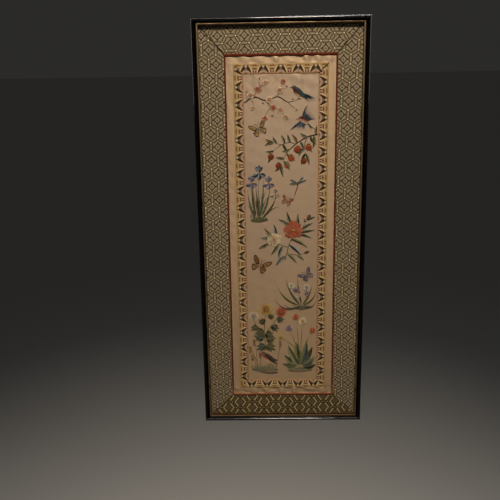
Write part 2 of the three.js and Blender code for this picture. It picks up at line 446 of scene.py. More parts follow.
def give_bake_uv(piece):
    """A plain map of the face, for textures made from the materials. Backs share one small spot."""
    mesh = piece.data
    flat = read(mesh.vertices, "co", 3)[read(mesh.loops, "vertex_index", kind=int)][:, [0, 2]]
    low, high = flat.min(0), flat.max(0)
    flat = 0.02 + 0.97 * (flat - low) / (high - low).max()
    behind = read(mesh.polygons, "normal", 3)[:, 1] > 0.3
    flat[np.repeat(behind, read(mesh.polygons, "loop_total", kind=int))] *= 0.01
    mesh.uv_layers.new(name="OFBake").data.foreach_set("uv", flat.ravel())


def give_values(piece, name, values):
    piece.data.attributes.new(name, "FLOAT", "POINT").data.foreach_set("value", np.ravel(values))


def give_colours(piece, name, values, domain):
    """A colour for each vertex (POINT) or each face corner (CORNER)."""
    layer = piece.data.attributes.new(name, "FLOAT_COLOR", domain)
    layer.data.foreach_set("color", np.asarray(values, float).ravel())


def finish(piece, slot, *nodes):
    """What every piece says: it rides on the root, and may stand in for solids. Its slot is not used."""
    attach(piece, "root")
    if nodes:
        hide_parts(*nodes)


# Each side's turn from the top, and what it sees of a rectangle: how far out it is, and its two ends
SIDES = {
    "top": (0.0, lambda r: (r.top, r.left, r.right)),
    "right": (math.pi / 2, lambda r: (r.right, -r.top, -r.bottom)),
    "bottom": (math.pi, lambda r: (-r.bottom, -r.right, -r.left)),
    "left": (-math.pi / 2, lambda r: (-r.left, r.bottom, r.top)),
}


class Strip:
    """One side's strip between two rectangles, its ends on the lines that join their corners."""

    def __init__(self, side, outer, inner, gap):
        self.turn, see = SIDES[side]
        self.out, self.lo0, self.hi0 = see(outer)
        inner_out, self.lo1, self.hi1 = see(inner)
        self.width = self.out - inner_out
        self.gap_lo = gap / 2 * math.hypot(1, (self.lo1 - self.lo0) / self.width)
        self.gap_hi = gap / 2 * math.hypot(1, (self.hi0 - self.hi1) / self.width)

    def ends(self, u):
        """Where the strip starts and ends, at u in from its outer edge."""
        share = u / self.width
        lo = self.lo0 + (self.lo1 - self.lo0) * share + self.gap_lo
        hi = self.hi0 + (self.hi1 - self.hi0) * share - self.gap_hi
        return lo, hi

    def on_face(self, along, u):
        """Face coordinates of a point that is along the strip and u in from its outer edge."""
        out = self.out - u
        x = along * math.cos(self.turn) + out * math.sin(self.turn)
        z = -along * math.sin(self.turn) + out * math.cos(self.turn)
        return x, z


def loft(name, strip, section, steps, material, sway, sharp=40.0):
    """A closed section (u, v), run along a strip. sway(along, share, v) gives small moves of u and v."""
    section = np.asarray(section, float)
    count = len(section)
    points, cloth = [], []
    girth = np.concatenate([[0], np.cumsum(np.hypot(*np.diff(section, axis=0).T))])
    for step in range(steps + 1):
        share = step / steps
        for (u, v), g in zip(section, girth):
            lo, hi = strip.ends(u)
            along = lo + (hi - lo) * share
            du, dv = sway(along, share, v)
            x, z = strip.on_face(along, u + du)
            points.append((x, v + dv, z))
            cloth.append((along, g))
    faces = []
    for step in range(steps):
        for k in range(count):
            a = step * count + k
            b = step * count + (k + 1) % count
            faces.append((a, b, b + count, a + count))
    faces.append(tuple(range(count - 1, -1, -1)))
    faces.append(tuple(range(steps * count, (steps + 1) * count)))
    piece = make_mesh(name, points, faces, material, sharp)
    give_uv(piece, "cloth", cloth)
    return piece


def arc(centre, radii, start, end, count):
    """Points of an ellipse's arc, angles in degrees."""
    angles = np.radians(np.linspace(start, end, count))
    return [(centre[0] + radii[0] * math.cos(t), centre[1] + radii[1] * math.sin(t)) for t in angles]


def rail_section():
    """The rail's section: a rounded bead outside, a cove down to the lip, and the rebate behind."""
    bead = FRAME_D - BEAD_R
    points = [(0.4, 0.0), (0.0, 0.4), (0.0, bead * 0.5)]
    points += arc((BEAD_R, bead), (BEAD_R, BEAD_R), 180, 0, 22)
    start, ease, end = Vector((2 * BEAD_R, bead)), Vector(COVE_EASE), Vector((COVE_END, LIP_FRONT))
    for share in np.linspace(0, 1, 10)[1:]:
        p = start.lerp(ease, share).lerp(ease.lerp(end, share), share)
        points.append((p.x, p.y))
    return points + [
        (RAIL_W - 0.2, LIP_FRONT), (RAIL_W, LIP_FRONT - 0.2), (RAIL_W, LIP_BACK), (REBATE_W, LIP_BACK),
        (REBATE_W, 0.0)]


def slip_section():
    base = LIP_FRONT + 0.02
    shoulder = LIP_FRONT + GAP + SLIP_SIDE
    crown = arc((SLIP_W / 2, shoulder), (SLIP_W / 2, SLIP_CROWN), 180, 0, 14)
    return [(0.0, base)] + crown + [(SLIP_W, base)]


def piping_section(spread):
    """The piping's section. Its crown stands out over the cloths, by spread on each side or more inside."""
    shoulder = CLOTH_BACK + PIPING_T * 0.62
    middle = PIPING_W / 2 + 0.35 * spread
    crown = arc((middle, shoulder), (PIPING_W / 2 + spread, PIPING_T * (0.2 + 0.2 * spread)), 180, 0, 12)
    return [(0.1, CLOTH_BACK)] + crown + [(PIPING_W - 0.1, CLOTH_BACK)]


def ripple(seed, *waves):
    """A smooth, repeatable wander: each wave is (length, height)."""
    draw = random.Random(seed)
    phases = [draw.uniform(0, 2 * math.pi) for _ in waves]
    return lambda s: sum(h * math.sin(2 * math.pi * s / w + p) for (w, h), p in zip(waves, phases))


# Rails and slips: steps along each, the part of the bead that is worn bare, and how far corners are
RAIL_STEPS, SLIP_STEPS = 96, 120
BEAD_CROWN, WORN_CORNER = 1.4, 14.0


def front_only(wave):
    """A sway that moves only the front of a moulding, out and in."""
    return lambda along, share, v: (0.0, wave(along) if v > LIP_FRONT + 0.5 else 0.0)


def make_rails(lacquer, gilt):
    """The four lacquered rails, and the gilt slips that lie on their lips."""
    for n, side in enumerate(SIDES):
        strip = Strip(side, FRAME, SIGHT, JOINT_GAP)
        uneven = front_only(ripple(10 + n, (210.0, 0.05), (47.0, 0.03), (13.0, 0.012)))
        rail = loft(f"lacquered_rail_{side}", strip, rail_section(), RAIL_STEPS, lacquer, uneven)
        give_values(rail, "edge", rail_wear(strip))
        finish(rail, "lacquer", f"rail_{side}")
        strip = Strip(side, SLIP, SIGHT, JOINT_GAP)
        wear_and_shade = front_only(ripple(20 + n, (90.0, 0.04), (17.0, 0.03)))
        slip = loft(f"gilt_slip_{side}", strip, slip_section(), SLIP_STEPS, gilt, wear_and_shade)
        # Partly painted shade: the dulling each slip's gilding gets by side
        give_values(slip, "wear_and_shade", slip_dulling_and_shade(side))
        finish(slip, "gilt", f"slip_{side}")


def rail_wear(strip):
    """How exposed each point of a rail is: the bead's crown, and more so near the corners."""
    section = rail_section()
    lo, hi = strip.ends(0.0)
    values = []
    for step in range(RAIL_STEPS + 1):
        share = step / RAIL_STEPS
        corner = math.exp(-min(share, 1 - share) * (hi - lo) / WORN_CORNER)
        for _, v in section:
            crown = max(0.0, 1 - (FRAME_D - v) / BEAD_CROWN)
            values.append(0.45 * crown + 0.5 * corner * (v > 12.0))
    return values


def slip_dulling_and_shade(side):
    """How dull each point of a slip's gilding is: all of the top's, and the sides' more downwards. The
    dulling is partly wear and partly painted shade.
    """
    along = np.linspace(0, 1, SLIP_STEPS + 1)
    wear = {"top": 0 * along + 1, "right": 0.8 * along, "bottom": 0 * along, "left": 0.8 - 0.8 * along}
    return np.repeat(wear[side], len(slip_section()))


def grid_solid(name, x, z, front, back, material, sharp):
    """A closed sheet from a grid of x, z and front height, with a flat back behind its rim.

    The piece comes with the grid places of its vertices, the rim's twice."""
    index = np.arange(x.size).reshape(x.shape)
    a, b = index[:-1, :-1].ravel(), index[1:, :-1].ravel()
    c, d = index[1:, 1:].ravel(), index[:-1, 1:].ravel()
    rim = np.concatenate([index[0, :], index[1:, -1], index[-1, -2::-1], index[-2:0:-1, 0]])
    low = x.size + np.arange(len(rim))
    walls = np.stack([rim, np.roll(rim, -1), np.roll(low, -1), low], 1)
    points = np.stack([x.ravel(), front.ravel(), z.ravel()], 1)
    points = np.vstack([points, points[rim] * (1, 0, 1) + (0, back, 0)])
    faces = np.concatenate([np.stack([a, b, c, d], 1), walls]).tolist() + [low.tolist()]
    piece = make_mesh(name, points, faces, material, sharp)
    turn_outwards(piece.data)
    give_bake_uv(piece)
    return piece, np.concatenate([index.ravel(), rim])


def turn_outwards(mesh):
    """Turns the whole mesh inside out if its volume is negative."""
    mesh.calc_loop_triangles()
    corners = read(mesh.vertices, "co", 3)[read(mesh.loop_triangles, "vertices", 3, int)]
    if np.einsum("ij,ij->i", corners[:, 0], np.cross(corners[:, 1], corners[:, 2])).sum() < 0:
        mesh.flip_normals()


# The satin
def bell(distance, width):
    """1 in the middle, going smoothly down to 0 at width from it."""
    return np.cos(np.clip(np.abs(distance) / width, 0, 1) * np.pi / 2) ** 2


def satin_lift(x, z):
    """How far the satin's puckers stand off it. They are the solids' puckers, but lower."""
    x, z = np.asarray(x, float), np.asarray(z, float)
    in_margin = np.clip((SATIN.top - z) / (SATIN.top - RIBBON.top), 0, 1)
    lift = np.zeros(np.broadcast(x, z).shape)
    for at, width, height in MARGIN_PUCKERS:
        lift = lift + MARGIN_SHARE * height * bell(x - at, width) * np.sin(np.pi * in_margin) ** 2
    for at, width, height, reach in FIELD_PUCKERS:
        down = np.clip((FIELD.top - z) / reach, 0, 1)
        lift = lift + FIELD_SHARE * height * bell(x - at, width) * np.sin(np.pi * np.sqrt(down))
    return lift


def soft_creases():
    """Shallow creases of the satin: place, half length, half width, slope in degrees, height."""
    draw = random.Random(5)
    found = [
        (-58, 296, 16, 6.0, -52, -0.34), (-38, 301, 12, 5.5, 60, 0.3), (-22, 299, 11, 5.0, 75, -0.26),
        (-4, 295, 15, 6.0, 35, -0.28), (15, 301, 11, 5.5, 70, -0.28), (33, 297, 13, 5.5, 100, 0.28),
        (50, 300, 12, 6.0, 60, -0.2), (-48, 272, 18, 8.0, -40, -0.2), (24, 236, 24, 10.0, 40, 0.2),
    ]
    for _ in range(30):
        found.append((draw.uniform(-66, 66), draw.uniform(-310, 280), draw.uniform(16, 34),
                      draw.uniform(9, 14), draw.uniform(-75, 75), draw.uniform(-0.12, 0.12)))
    for x in np.arange(-90, 91, 20.0):
        found.append((x + draw.uniform(-4, 4), -337 + draw.uniform(-2, 2), draw.uniform(7, 10), 2.8,
                      draw.uniform(-60, 60), draw.choice((-0.16, 0.16))))
    return found


CREASES = soft_creases()


def rumples():
    """Waves that cross in all directions: length, direction and phase of each."""
    draw = random.Random(9)
    ranges = ((10, 30), (0, math.pi), (0, 2 * math.pi))
    return [[draw.uniform(low, high) for low, high in ranges] for _ in range(18)]


RUMPLES = rumples()


def rumple_lift(x, z):
    """Slight rumples all over, most in the top and bottom margins and along the field's top."""
    lift = np.zeros(np.broadcast(x, z).shape)
    for length, way, phase in RUMPLES:
        run = (x * math.cos(way) + z * math.sin(way)) / length
        lift = lift + length * np.sin(2 * math.pi * run + phase)
    low = np.clip((RIBBON.bottom + 4 - z) / 4, 0, 1)
    high = np.clip((z - RIBBON.top + 4) / 4, 0, 1)
    below_top = np.where(np.abs(x) < FIELD.right + 2, np.clip(FIELD.top - z, 0, None), 150)
    aside = np.clip((np.abs(x) - RIBBON.right) / 4, 0, 1)
    field = 0.16 + 0.5 * np.exp(-below_top / 30) * (z < FIELD.top + 2)
    return lift / (12 * len(RUMPLES)) * (field + 0.2 * aside + 0.72 * high + 2.0 * low)


def inside(rect, x, z):
    """How far inside a rectangle a point is, less than nothing outside it."""
    return np.minimum(np.minimum(x - rect.left, rect.right - x), np.minimum(z - rect.bottom, rect.top - z))


def crease_lift(x, z):
    """The creases' height, fading out under the ribbons and at the satin's own edges."""
    lift = rumple_lift(x, z)
    for x0, z0, long, wide, slope, height in CREASES:
        a = math.radians(slope)
        run = ((x - x0) * math.cos(a) + (z - z0) * math.sin(a)) / long
        off = ((z - z0) * math.cos(a) - (x - x0) * math.sin(a)) / wide
        lift = lift + height * np.exp(-run ** 2 - off ** 2)
    from_ribbon = np.maximum(-inside(RIBBON, x, z), inside(FIELD, x, z))
    free = np.clip(from_ribbon / 2.5, 0, 1) * np.clip(inside(SATIN, x, z) / 2.0, 0, 1)
    return np.clip(lift, -0.7, 0.7) * free


def satin_height(x, z):
    return SATIN_FRONT + satin_lift(x, z) + crease_lift(x, z)


# Faces across and down the satin
SATIN_COLUMNS, SATIN_ROWS = 136, 462


def make_satin(material):
    """The satin ground, as one sheet with its puckers, rumples and creases."""
    x = np.linspace(SATIN.left, SATIN.right, SATIN_COLUMNS + 1)
    z = np.linspace(SATIN.bottom, SATIN.top, SATIN_ROWS + 1)
    gx, gz = np.meshgrid(x, z, indexing="ij")
    front = satin_height(gx, gz)
    panel, places = grid_solid("satin_ground", gx, gz, front, CLOTH_BACK, material, sharp=60)
    give_uv(panel, "cloth", np.stack([gx.ravel(), gz.ravel()], 1)[places])
    give_values(panel, "field", np.clip(inside(FIELD, gx, gz) / 4 + 1, 0, 1).ravel()[places])
    finish(panel, "satin", "satin_panel")
    flat = ((SATIN.right - SATIN.left) * MM, (SATIN.top - SATIN.bottom) * MM)


# The brocade on each side: where a hexagon's middle lies along the strip, the repeat there, how far
# out its row runs at the strip's low end, middle and high end, and its tones: the bottom's carry painted
# sheen
BROCADE_FIT = {
    "top": (-42.0, 49.7, (364.0, 366.0, 366.5), "plain_tones"),
    "right": (-3.7, 50.7, (131.1, 121.7, 125.7), "plain_tones"),
    "bottom": (14.0, 50.2, (383.2, 383.2, 383.2), "painted_sheen"),
    "left": (-5.8, 51.3, (137.9, 135.3, 132.7), "plain_tones"),
}
# Half lengths of the strips at the sides and at the ends, over which their rows bend
HALF_SIDE, HALF_END = 400.0, 155.0
# The left strip is stretched below here, by this share
STRETCHED_BELOW, STRETCH = -235, 0.115
# Steps along the brocade and the piping, and how far the brocade's rows gather at its edges
BROCADE_STEP, PIPING_STEP, GATHERED = 2.2, 1.6, 0.4


def brocade_cloth(side, along, out):
    """Where the repeat of a side's brocade has each point, along it and across it."""
    start, period, rows, _ = BROCADE_FIT[side]
    if side == "left":
        along = along - STRETCH * np.maximum(0, STRETCHED_BELOW - along)
    bend = (rows[0] + rows[2]) / 2 - rows[1]
    share = along / (HALF_SIDE if side in ("left", "right") else HALF_END)
    middle = rows[1] + (rows[2] - rows[0]) / 2 * share + bend * share ** 2
    return (along - start) * 2 * HALF_ALONG / period, out - middle


def strip_grid(strip, step):
    """Grids of u and along for a strip, its rows gathered at its edges, and where each row ends."""
    rows = max(2, round(strip.width / step))
    u = strip.width * (0.5 - 0.5 * np.cos(np.linspace(0, np.pi, rows + 1))) * GATHERED
    u = u + strip.width * np.linspace(0, 1, rows + 1) * (1 - GATHERED)
    lo, hi = strip.ends(u)
    columns = round((strip.hi0 - strip.lo0) / step)
    share = np.linspace(0, 1, columns + 1)
    along = lo[:, None] + (hi - lo)[:, None] * share[None, :]
    return np.repeat(u[:, None], columns + 1, 1), along, lo, hi


def make_brocade(materials):
    """The four brocade strips. They dip into the mitres and towards the piping, where painted shadow
    darkens them.
    """
    for n, side in enumerate(SIDES):
        strip = Strip(side, SEAT, BROCADE_INNER, GAP)
        u, along, lo, hi = strip_grid(strip, BROCADE_STEP)
        from_end = np.minimum(along - lo[:, None], hi[:, None] - along)
        from_end = from_end / math.hypot(1, (strip.lo1 - strip.lo0) / strip.width)
        from_piping = strip.width - u
        wave_a, wave_b = ripple(30 + n, (70.0, 0.06), (31.0, 0.04)), ripple(40 + n, (40.0, 0.05))
        loose = np.vectorize(wave_a)(along) * np.vectorize(wave_b)(u * 3) * 8
        front = BROCADE_FRONT - 0.12 + np.clip(loose, -0.12, 0.1)
        x, z = strip.on_face(along, u)
        tuck = np.where(z > 0, 0.55, 0.2)
        front = front - tuck * np.exp(-(from_end / 0.9) ** 2) - 0.3 * np.exp(-(from_piping / 0.8) ** 2)
        # The bottom strip takes the tones with painted sheen
        material = materials[BROCADE_FIT[side][3]]
        piece, places = grid_solid(f"brocade_strip_{side}", x, z, front, CLOTH_BACK, material, sharp=60)
        cloth = np.stack([c.ravel() for c in brocade_cloth(side, along, strip.out - u)], 1)
        give_uv(piece, "cloth", cloth[places])
        # How far each point is from the mitres and the piping, for the painted shadow there
        seam_shadow = np.minimum(from_end + np.where(z > 0, 0.0, 0.8), from_piping + 0.75)
        give_values(piece, "seam_shadow", seam_shadow.ravel()[places])
        finish(piece, "brocade", f"brocade_{side}")
        length, width = (strip.hi0 - strip.lo0) * MM, strip.width * MM
        mitres = (strip.lo1 - strip.lo0 + strip.hi0 - strip.hi1) * MM
        area = (length - mitres / 2) * width


def make_piping(material):
    """The four lengths of piping. The top one is the fullest and wanders most, then the bottom one."""
    for n, side in enumerate(SIDES):
        strip = Strip(side, PIPING, PIPING_INNER, JOINT_GAP)
        loose, spread = {"top": (4.0, 1.1), "bottom": (1.6, 0.8)}.get(side, (1.0, 0.3))
        wander = ripple(50 + n, (46.0, 0.12 * loose), (19.0, 0.07 * loose), (11.0, 0.04 * loose))
        swell = ripple(60 + n, (27.0, 0.08), (6.0, 0.05), (2.3, 0.03))
        steps = round((strip.hi0 - strip.lo0) / PIPING_STEP)

        def sway(s, share, v):
            free = math.sin(math.pi * share) ** 0.3 if 0 < share < 1 else 0.0
            crown = (v - CLOTH_BACK) / PIPING_T
            return wander(s) * free * min(1.0, crown + 0.15), swell(s) * crown

        piece = loft(f"silk_piping_{side}", strip, piping_section(spread), steps, material, sway, sharp=60)
        finish(piece, "piping", f"piping_{side}")


# Half of the ribbon's repeat, charted: a row for each float from the outer edge inwards,
# from the middle of the tent shape on the left to the middle of the floret on the right
RIBBON_YARNS = {
    "d": "9f7c4b", "e": "a0763f", "g": "b28e5c", "y": "c4a67a", "c": "d8c195", "w": "d0beab",
    "k": "40280a", "o": "5a450c", "l": "82683a", "s": "876031", "m": "837560", "p": "bc9a82",
    "b": "572a0c", "r": "60210f", "t": "af8456", "n": "8e5c2d",
}
RIBBON_CHART = (
    "ddddddddddddddddddddddddd",
    "yyyyyyyyyyyyyyyyyyyyyyyyy",
    "ggggeeeegggggggggggeeeeee",
    "lllllllgggggggggggggeeeee",
    "mmlllolgggyggggggggssssse",
    "mccllllogyygggggggsssssss",
    "cwwolollgcygggggggsssssss",
    "wwwlkkklgccyggggggessssgg",
    "wwclkkklogcccyggggygggyyy",
    "ccmkkkkkogcccyyyyyyyggyyy",
    "kkkkkkkkkogccyyyyyyyyyyyy",
    "mmkkkkkkkkogccyyyyyygggyg",
    "mmkkkkkkkkkgcccyyggllggoo",
    "mmmkkkkkkkkogccyygllllooo",
    "kmmkkkkkkkkkgcccygllllooo",
    "mmmokkkkkkkkgcccyglllgooo",
    "mmmmokkkkkkkogccccgllgggo",
    "mmmmmokkkkkkkgccccggrpppp",
    "pmmmmpobkkkkkogccccprrppp",
    "pppppppobkkkkkgcccpprrppp",
    "ppppppppobbkkkogccpprrrpp",
    "ppppppppppbbbkkgccpprrrpp",
    "tpppppppppobbbkgccpprrrpp",
    "ttpppppppppobbbgccpprrrpp",
    "nnttpppppppppbbbgcpprrrpt",
    "nnnnttpppppppgbbggppttttt",
    "nnnnnntttttttttgttttttttt",
    "ttttttttttttttttttttttttt",
    "ddddddddddddddddddddddddd",
)
# How far the figure's floats stand out over the ground's
RELIEF_OF = {"k": 0.12, "o": 0.1, "c": 0.16, "w": 0.16, "r": 0.1, "m": 0.08, "p": 0.07, "b": 0.1}
GROUND_RELIEF = 0.03

# The painted shadow of the fold at the upper right mitre: which end of each strip has it, and its half
# width
FOLD_SHADOW_END = {"top": 1, "right": 0}
FOLD_SHADOW_HALF = 1.3
# Painted highlight: the bottom ribbon's colours are made brighter, for the light its threads catch
PAINTED_BRIGHTNESS = {"bottom": 1.2}
# The middle of a tent shape and the repeat on each side, along the strip
RIBBON_FIT = {"top": (-0.25, 32.4), "right": (2.4, 32.8), "bottom": (0.0, 32.4), "left": (-11.85, 33.05)}


def make_ribbon(material):
    """The four lengths of woven ribbon, with a face for each float of the chart."""
    half = len(RIBBON_CHART[0])
    colours = {k: linear(v) for k, v in RIBBON_YARNS.items()}
    yarn_of = np.array([list(row) for row in RIBBON_CHART])
    relief = np.vectorize(lambda yarn: RELIEF_OF.get(yarn, GROUND_RELIEF))
    for n, side in enumerate(SIDES):
        strip = Strip(side, RIBBON, FIELD, RIBBON_GAP)
        middle, period = RIBBON_FIT[side]
        cell = period / 2 / half
        first = math.floor((strip.lo0 - middle) / cell) - 1
        last = math.ceil((strip.hi0 - middle) / cell) + 1
        fold = np.abs(np.arange(first, last) + 0.5) % (2 * half)
        yarns = yarn_of[:, np.minimum(fold, 2 * half - fold).astype(int)]
        if side in FOLD_SHADOW_END:
            crossing = strip.ends((np.arange(len(RIBBON_CHART)) + 0.5) * strip.width / len(RIBBON_CHART))
            centres = middle + (np.arange(first, last) + 0.5) * cell
            near = np.abs(centres[None, :] - crossing[FOLD_SHADOW_END[side]][:, None]) < FOLD_SHADOW_HALF
            # Painted shadow of the fold: the floats along this mitre take the dark yarn
            yarns = np.where(near, "k", yarns)
        piece = ribbon_solid(f"woven_ribbon_{side}", strip, middle + np.arange(first, last + 1) * cell,
                             relief(yarns), ripple(70 + n, (41.0, 0.2), (17.0, 0.1)), material)
        # Painted highlight on the bottom ribbon
        painted_bright = PAINTED_BRIGHTNESS.get(side, 1.0)
        tints = [np.multiply(colours[yarn], (painted_bright, painted_bright, painted_bright, 1)) for yarn in yarns.ravel()]
        tints += [colours["d"]] * (len(piece.data.polygons) - len(tints))
        give_colours(piece, "yarn", np.repeat(tints, 4, 0), "CORNER")
        mitre(piece, strip)
        finish(piece, "ribbon", f"ribbon_{side}")
        length, width = strip.hi0 - strip.lo0, strip.width
        width * MM
        length * MM
        (length - width) * width * MM * MM


def ribbon_solid(name, strip, along, relief, wander, material):
    """A closed ribbon with one face for each float, longer than needed at both ends."""
    rows, columns = relief.shape
    u = np.linspace(0, strip.width, rows + 1)
    padded = np.pad(relief, 1, mode="edge")
    height = (padded[:-1, :-1] + padded[1:, :-1] + padded[:-1, 1:] + padded[1:, 1:]) / 4
    edge = np.minimum(u, strip.width - u)[:, None]
    height = RIBBON_LIES + RIBBON_T * (0.45 + 0.55 * np.clip(edge / 1.6, 0, 1) ** 0.5) + height
    loose = np.array([wander(s) for s in along])
    gu = np.repeat(u[:, None], columns + 1, 1) + loose[None, :] * (1 - u / strip.width)[:, None]
    gs = np.repeat(along[None, :], rows + 1, 0)
    x, z = strip.on_face(gs, gu)
    points = np.stack([x, height, z], 2).reshape(-1, 3)
    cloth = np.stack([gs, gu], 2).reshape(-1, 2)
    index = np.arange(points.shape[0]).reshape(rows + 1, columns + 1)
    ends = np.concatenate([index[0], index[-1]])
    low = points[ends] * (1, 0, 1) + (0, RIBBON_LIES, 0)
    base = len(points) + np.arange(len(ends)).reshape(2, columns + 1)
    quads = [
        (index[:-1, :-1], index[:-1, 1:], index[1:, 1:], index[1:, :-1]),
        (base[0, :-1], base[0, 1:], index[0, 1:], index[0, :-1]),
        (index[-1, :-1], index[-1, 1:], base[1, 1:], base[1, :-1]),
        (base[1, :-1], base[1, 1:], base[0, 1:], base[0, :-1]),
    ]
    faces = np.concatenate([np.stack([c.ravel() for c in quad], 1) for quad in quads])
    piece = make_mesh(name, np.vstack([points, low]), faces.tolist(), material, sharp=50)
    give_uv(piece, "cloth", np.vstack([cloth, cloth[ends]]))
    return piece


def mitre(piece, strip):
    """Cuts both ends of a ribbon on the lines where it meets its neighbours, and closes them."""
    work = bmesh.new()
    work.from_mesh(piece.data)
    for end, way in ((0, -1), (1, 1)):
        outer = strip.on_face(strip.ends(0.0)[end], 0.0)
        inner = strip.on_face(strip.ends(strip.width)[end], strip.width)
        outer, inner = (Vector((x, 0, z + FACE_Z)) * MM for x, z in (outer, inner))
        normal = (inner - outer).cross(Vector((0, 1, 0)))
        ahead = Vector((math.cos(strip.turn), 0, -math.sin(strip.turn))) * way
        if normal.dot(ahead) < 0:
            normal.negate()
        everything = work.verts[:] + work.edges[:] + work.faces[:]
        cut = bmesh.ops.bisect_plane(
            work, geom=everything, dist=1e-7, plane_co=outer, plane_no=normal, clear_outer=True)
        rim = [e for e in cut["geom_cut"] if isinstance(e, bmesh.types.BMEdge) and e.is_boundary]
        bmesh.ops.holes_fill(work, edges=rim, sides=0)
    bmesh.ops.recalc_face_normals(work, faces=work.faces[:])
    work.to_mesh(piece.data)
    work.free()
    give_bake_uv(piece)


# Needlework. The picture is a generic one of birds, fruit and flowers, sewn stitch by stitch.
# A stitch has a point, a shoulder of three points, another shoulder and a point, sunk a little in the cloth
THREAD_W, THREAD_H = 0.52, 0.34
THREAD_GAP = 0.43
LAYER_RISE = 0.16
SUNK = 0.06
STITCH_SHOULDER = 0.16
STITCH_FACES = (
    (0, 1, 2), (0, 2, 3), (0, 3, 1), (1, 4, 5, 2), (2, 5, 6, 3), (3, 6, 4, 1), (7, 5, 4), (7, 6, 5),
    (7, 4, 6),
)


def tone(name, other=None, share=0.0):
    """A thread colour, or a mix of two."""
    colour = np.array(linear(name)[:3])
    if other is None:
        return colour
    return colour + (np.array(linear(other)[:3]) - colour) * share


def blend_tones(names, share):
    """The colour at a share of the way through a row of tones."""
    place = min(max(share, 0.0), 1.0) * (len(names) - 1)
    k = min(int(place), len(names) - 2)
    return tone(names[k], names[k + 1], place - k)


def curve(points, count):
    """A smooth line through a few given points."""
    p = np.asarray(points, float)
    p = np.vstack([2 * p[0] - p[1], p, 2 * p[-1] - p[-2]])
    found = []
    for share in np.linspace(0, len(p) - 3, count):
        k = min(int(share), len(p) - 4)
        t = share - k
        a, b, c, d = p[k:k + 4]
        found.append(0.5 * (2 * b + (c - a) * t + (2 * a - 5 * b + 4 * c - d) * t * t
                            + (3 * b - a - 3 * c + d) * t ** 3))
    return np.array(found)


def turned(points, angle, scale=1.0, centre=(0.0, 0.0), squash=1.0):
    """Points squashed in height, turned by degrees, scaled, and moved to a centre."""
    p = np.asarray(points, float) * (scale, scale * squash)
    s, c = math.sin(math.radians(angle)), math.cos(math.radians(angle))
    return p @ np.array([[c, s], [-s, c]]) + centre


def away(centre, far, angle):
    """The point at a distance from a centre, in a direction in degrees."""
    return turned([(far, 0)], angle, 1.0, centre)[0]


def unit(vector):
    return vector / max(np.hypot(*vector), 1e-9)


def sideways(vector):
    return np.array([-vector[1], vector[0]])


def between(base, tip):
    """Both points of a leaf as arrays, its length, and the direction across it."""
    base, tip = np.array(base, float), np.array(tip, float)
    return base, tip, np.hypot(*(tip - base)), sideways(unit(tip - base))


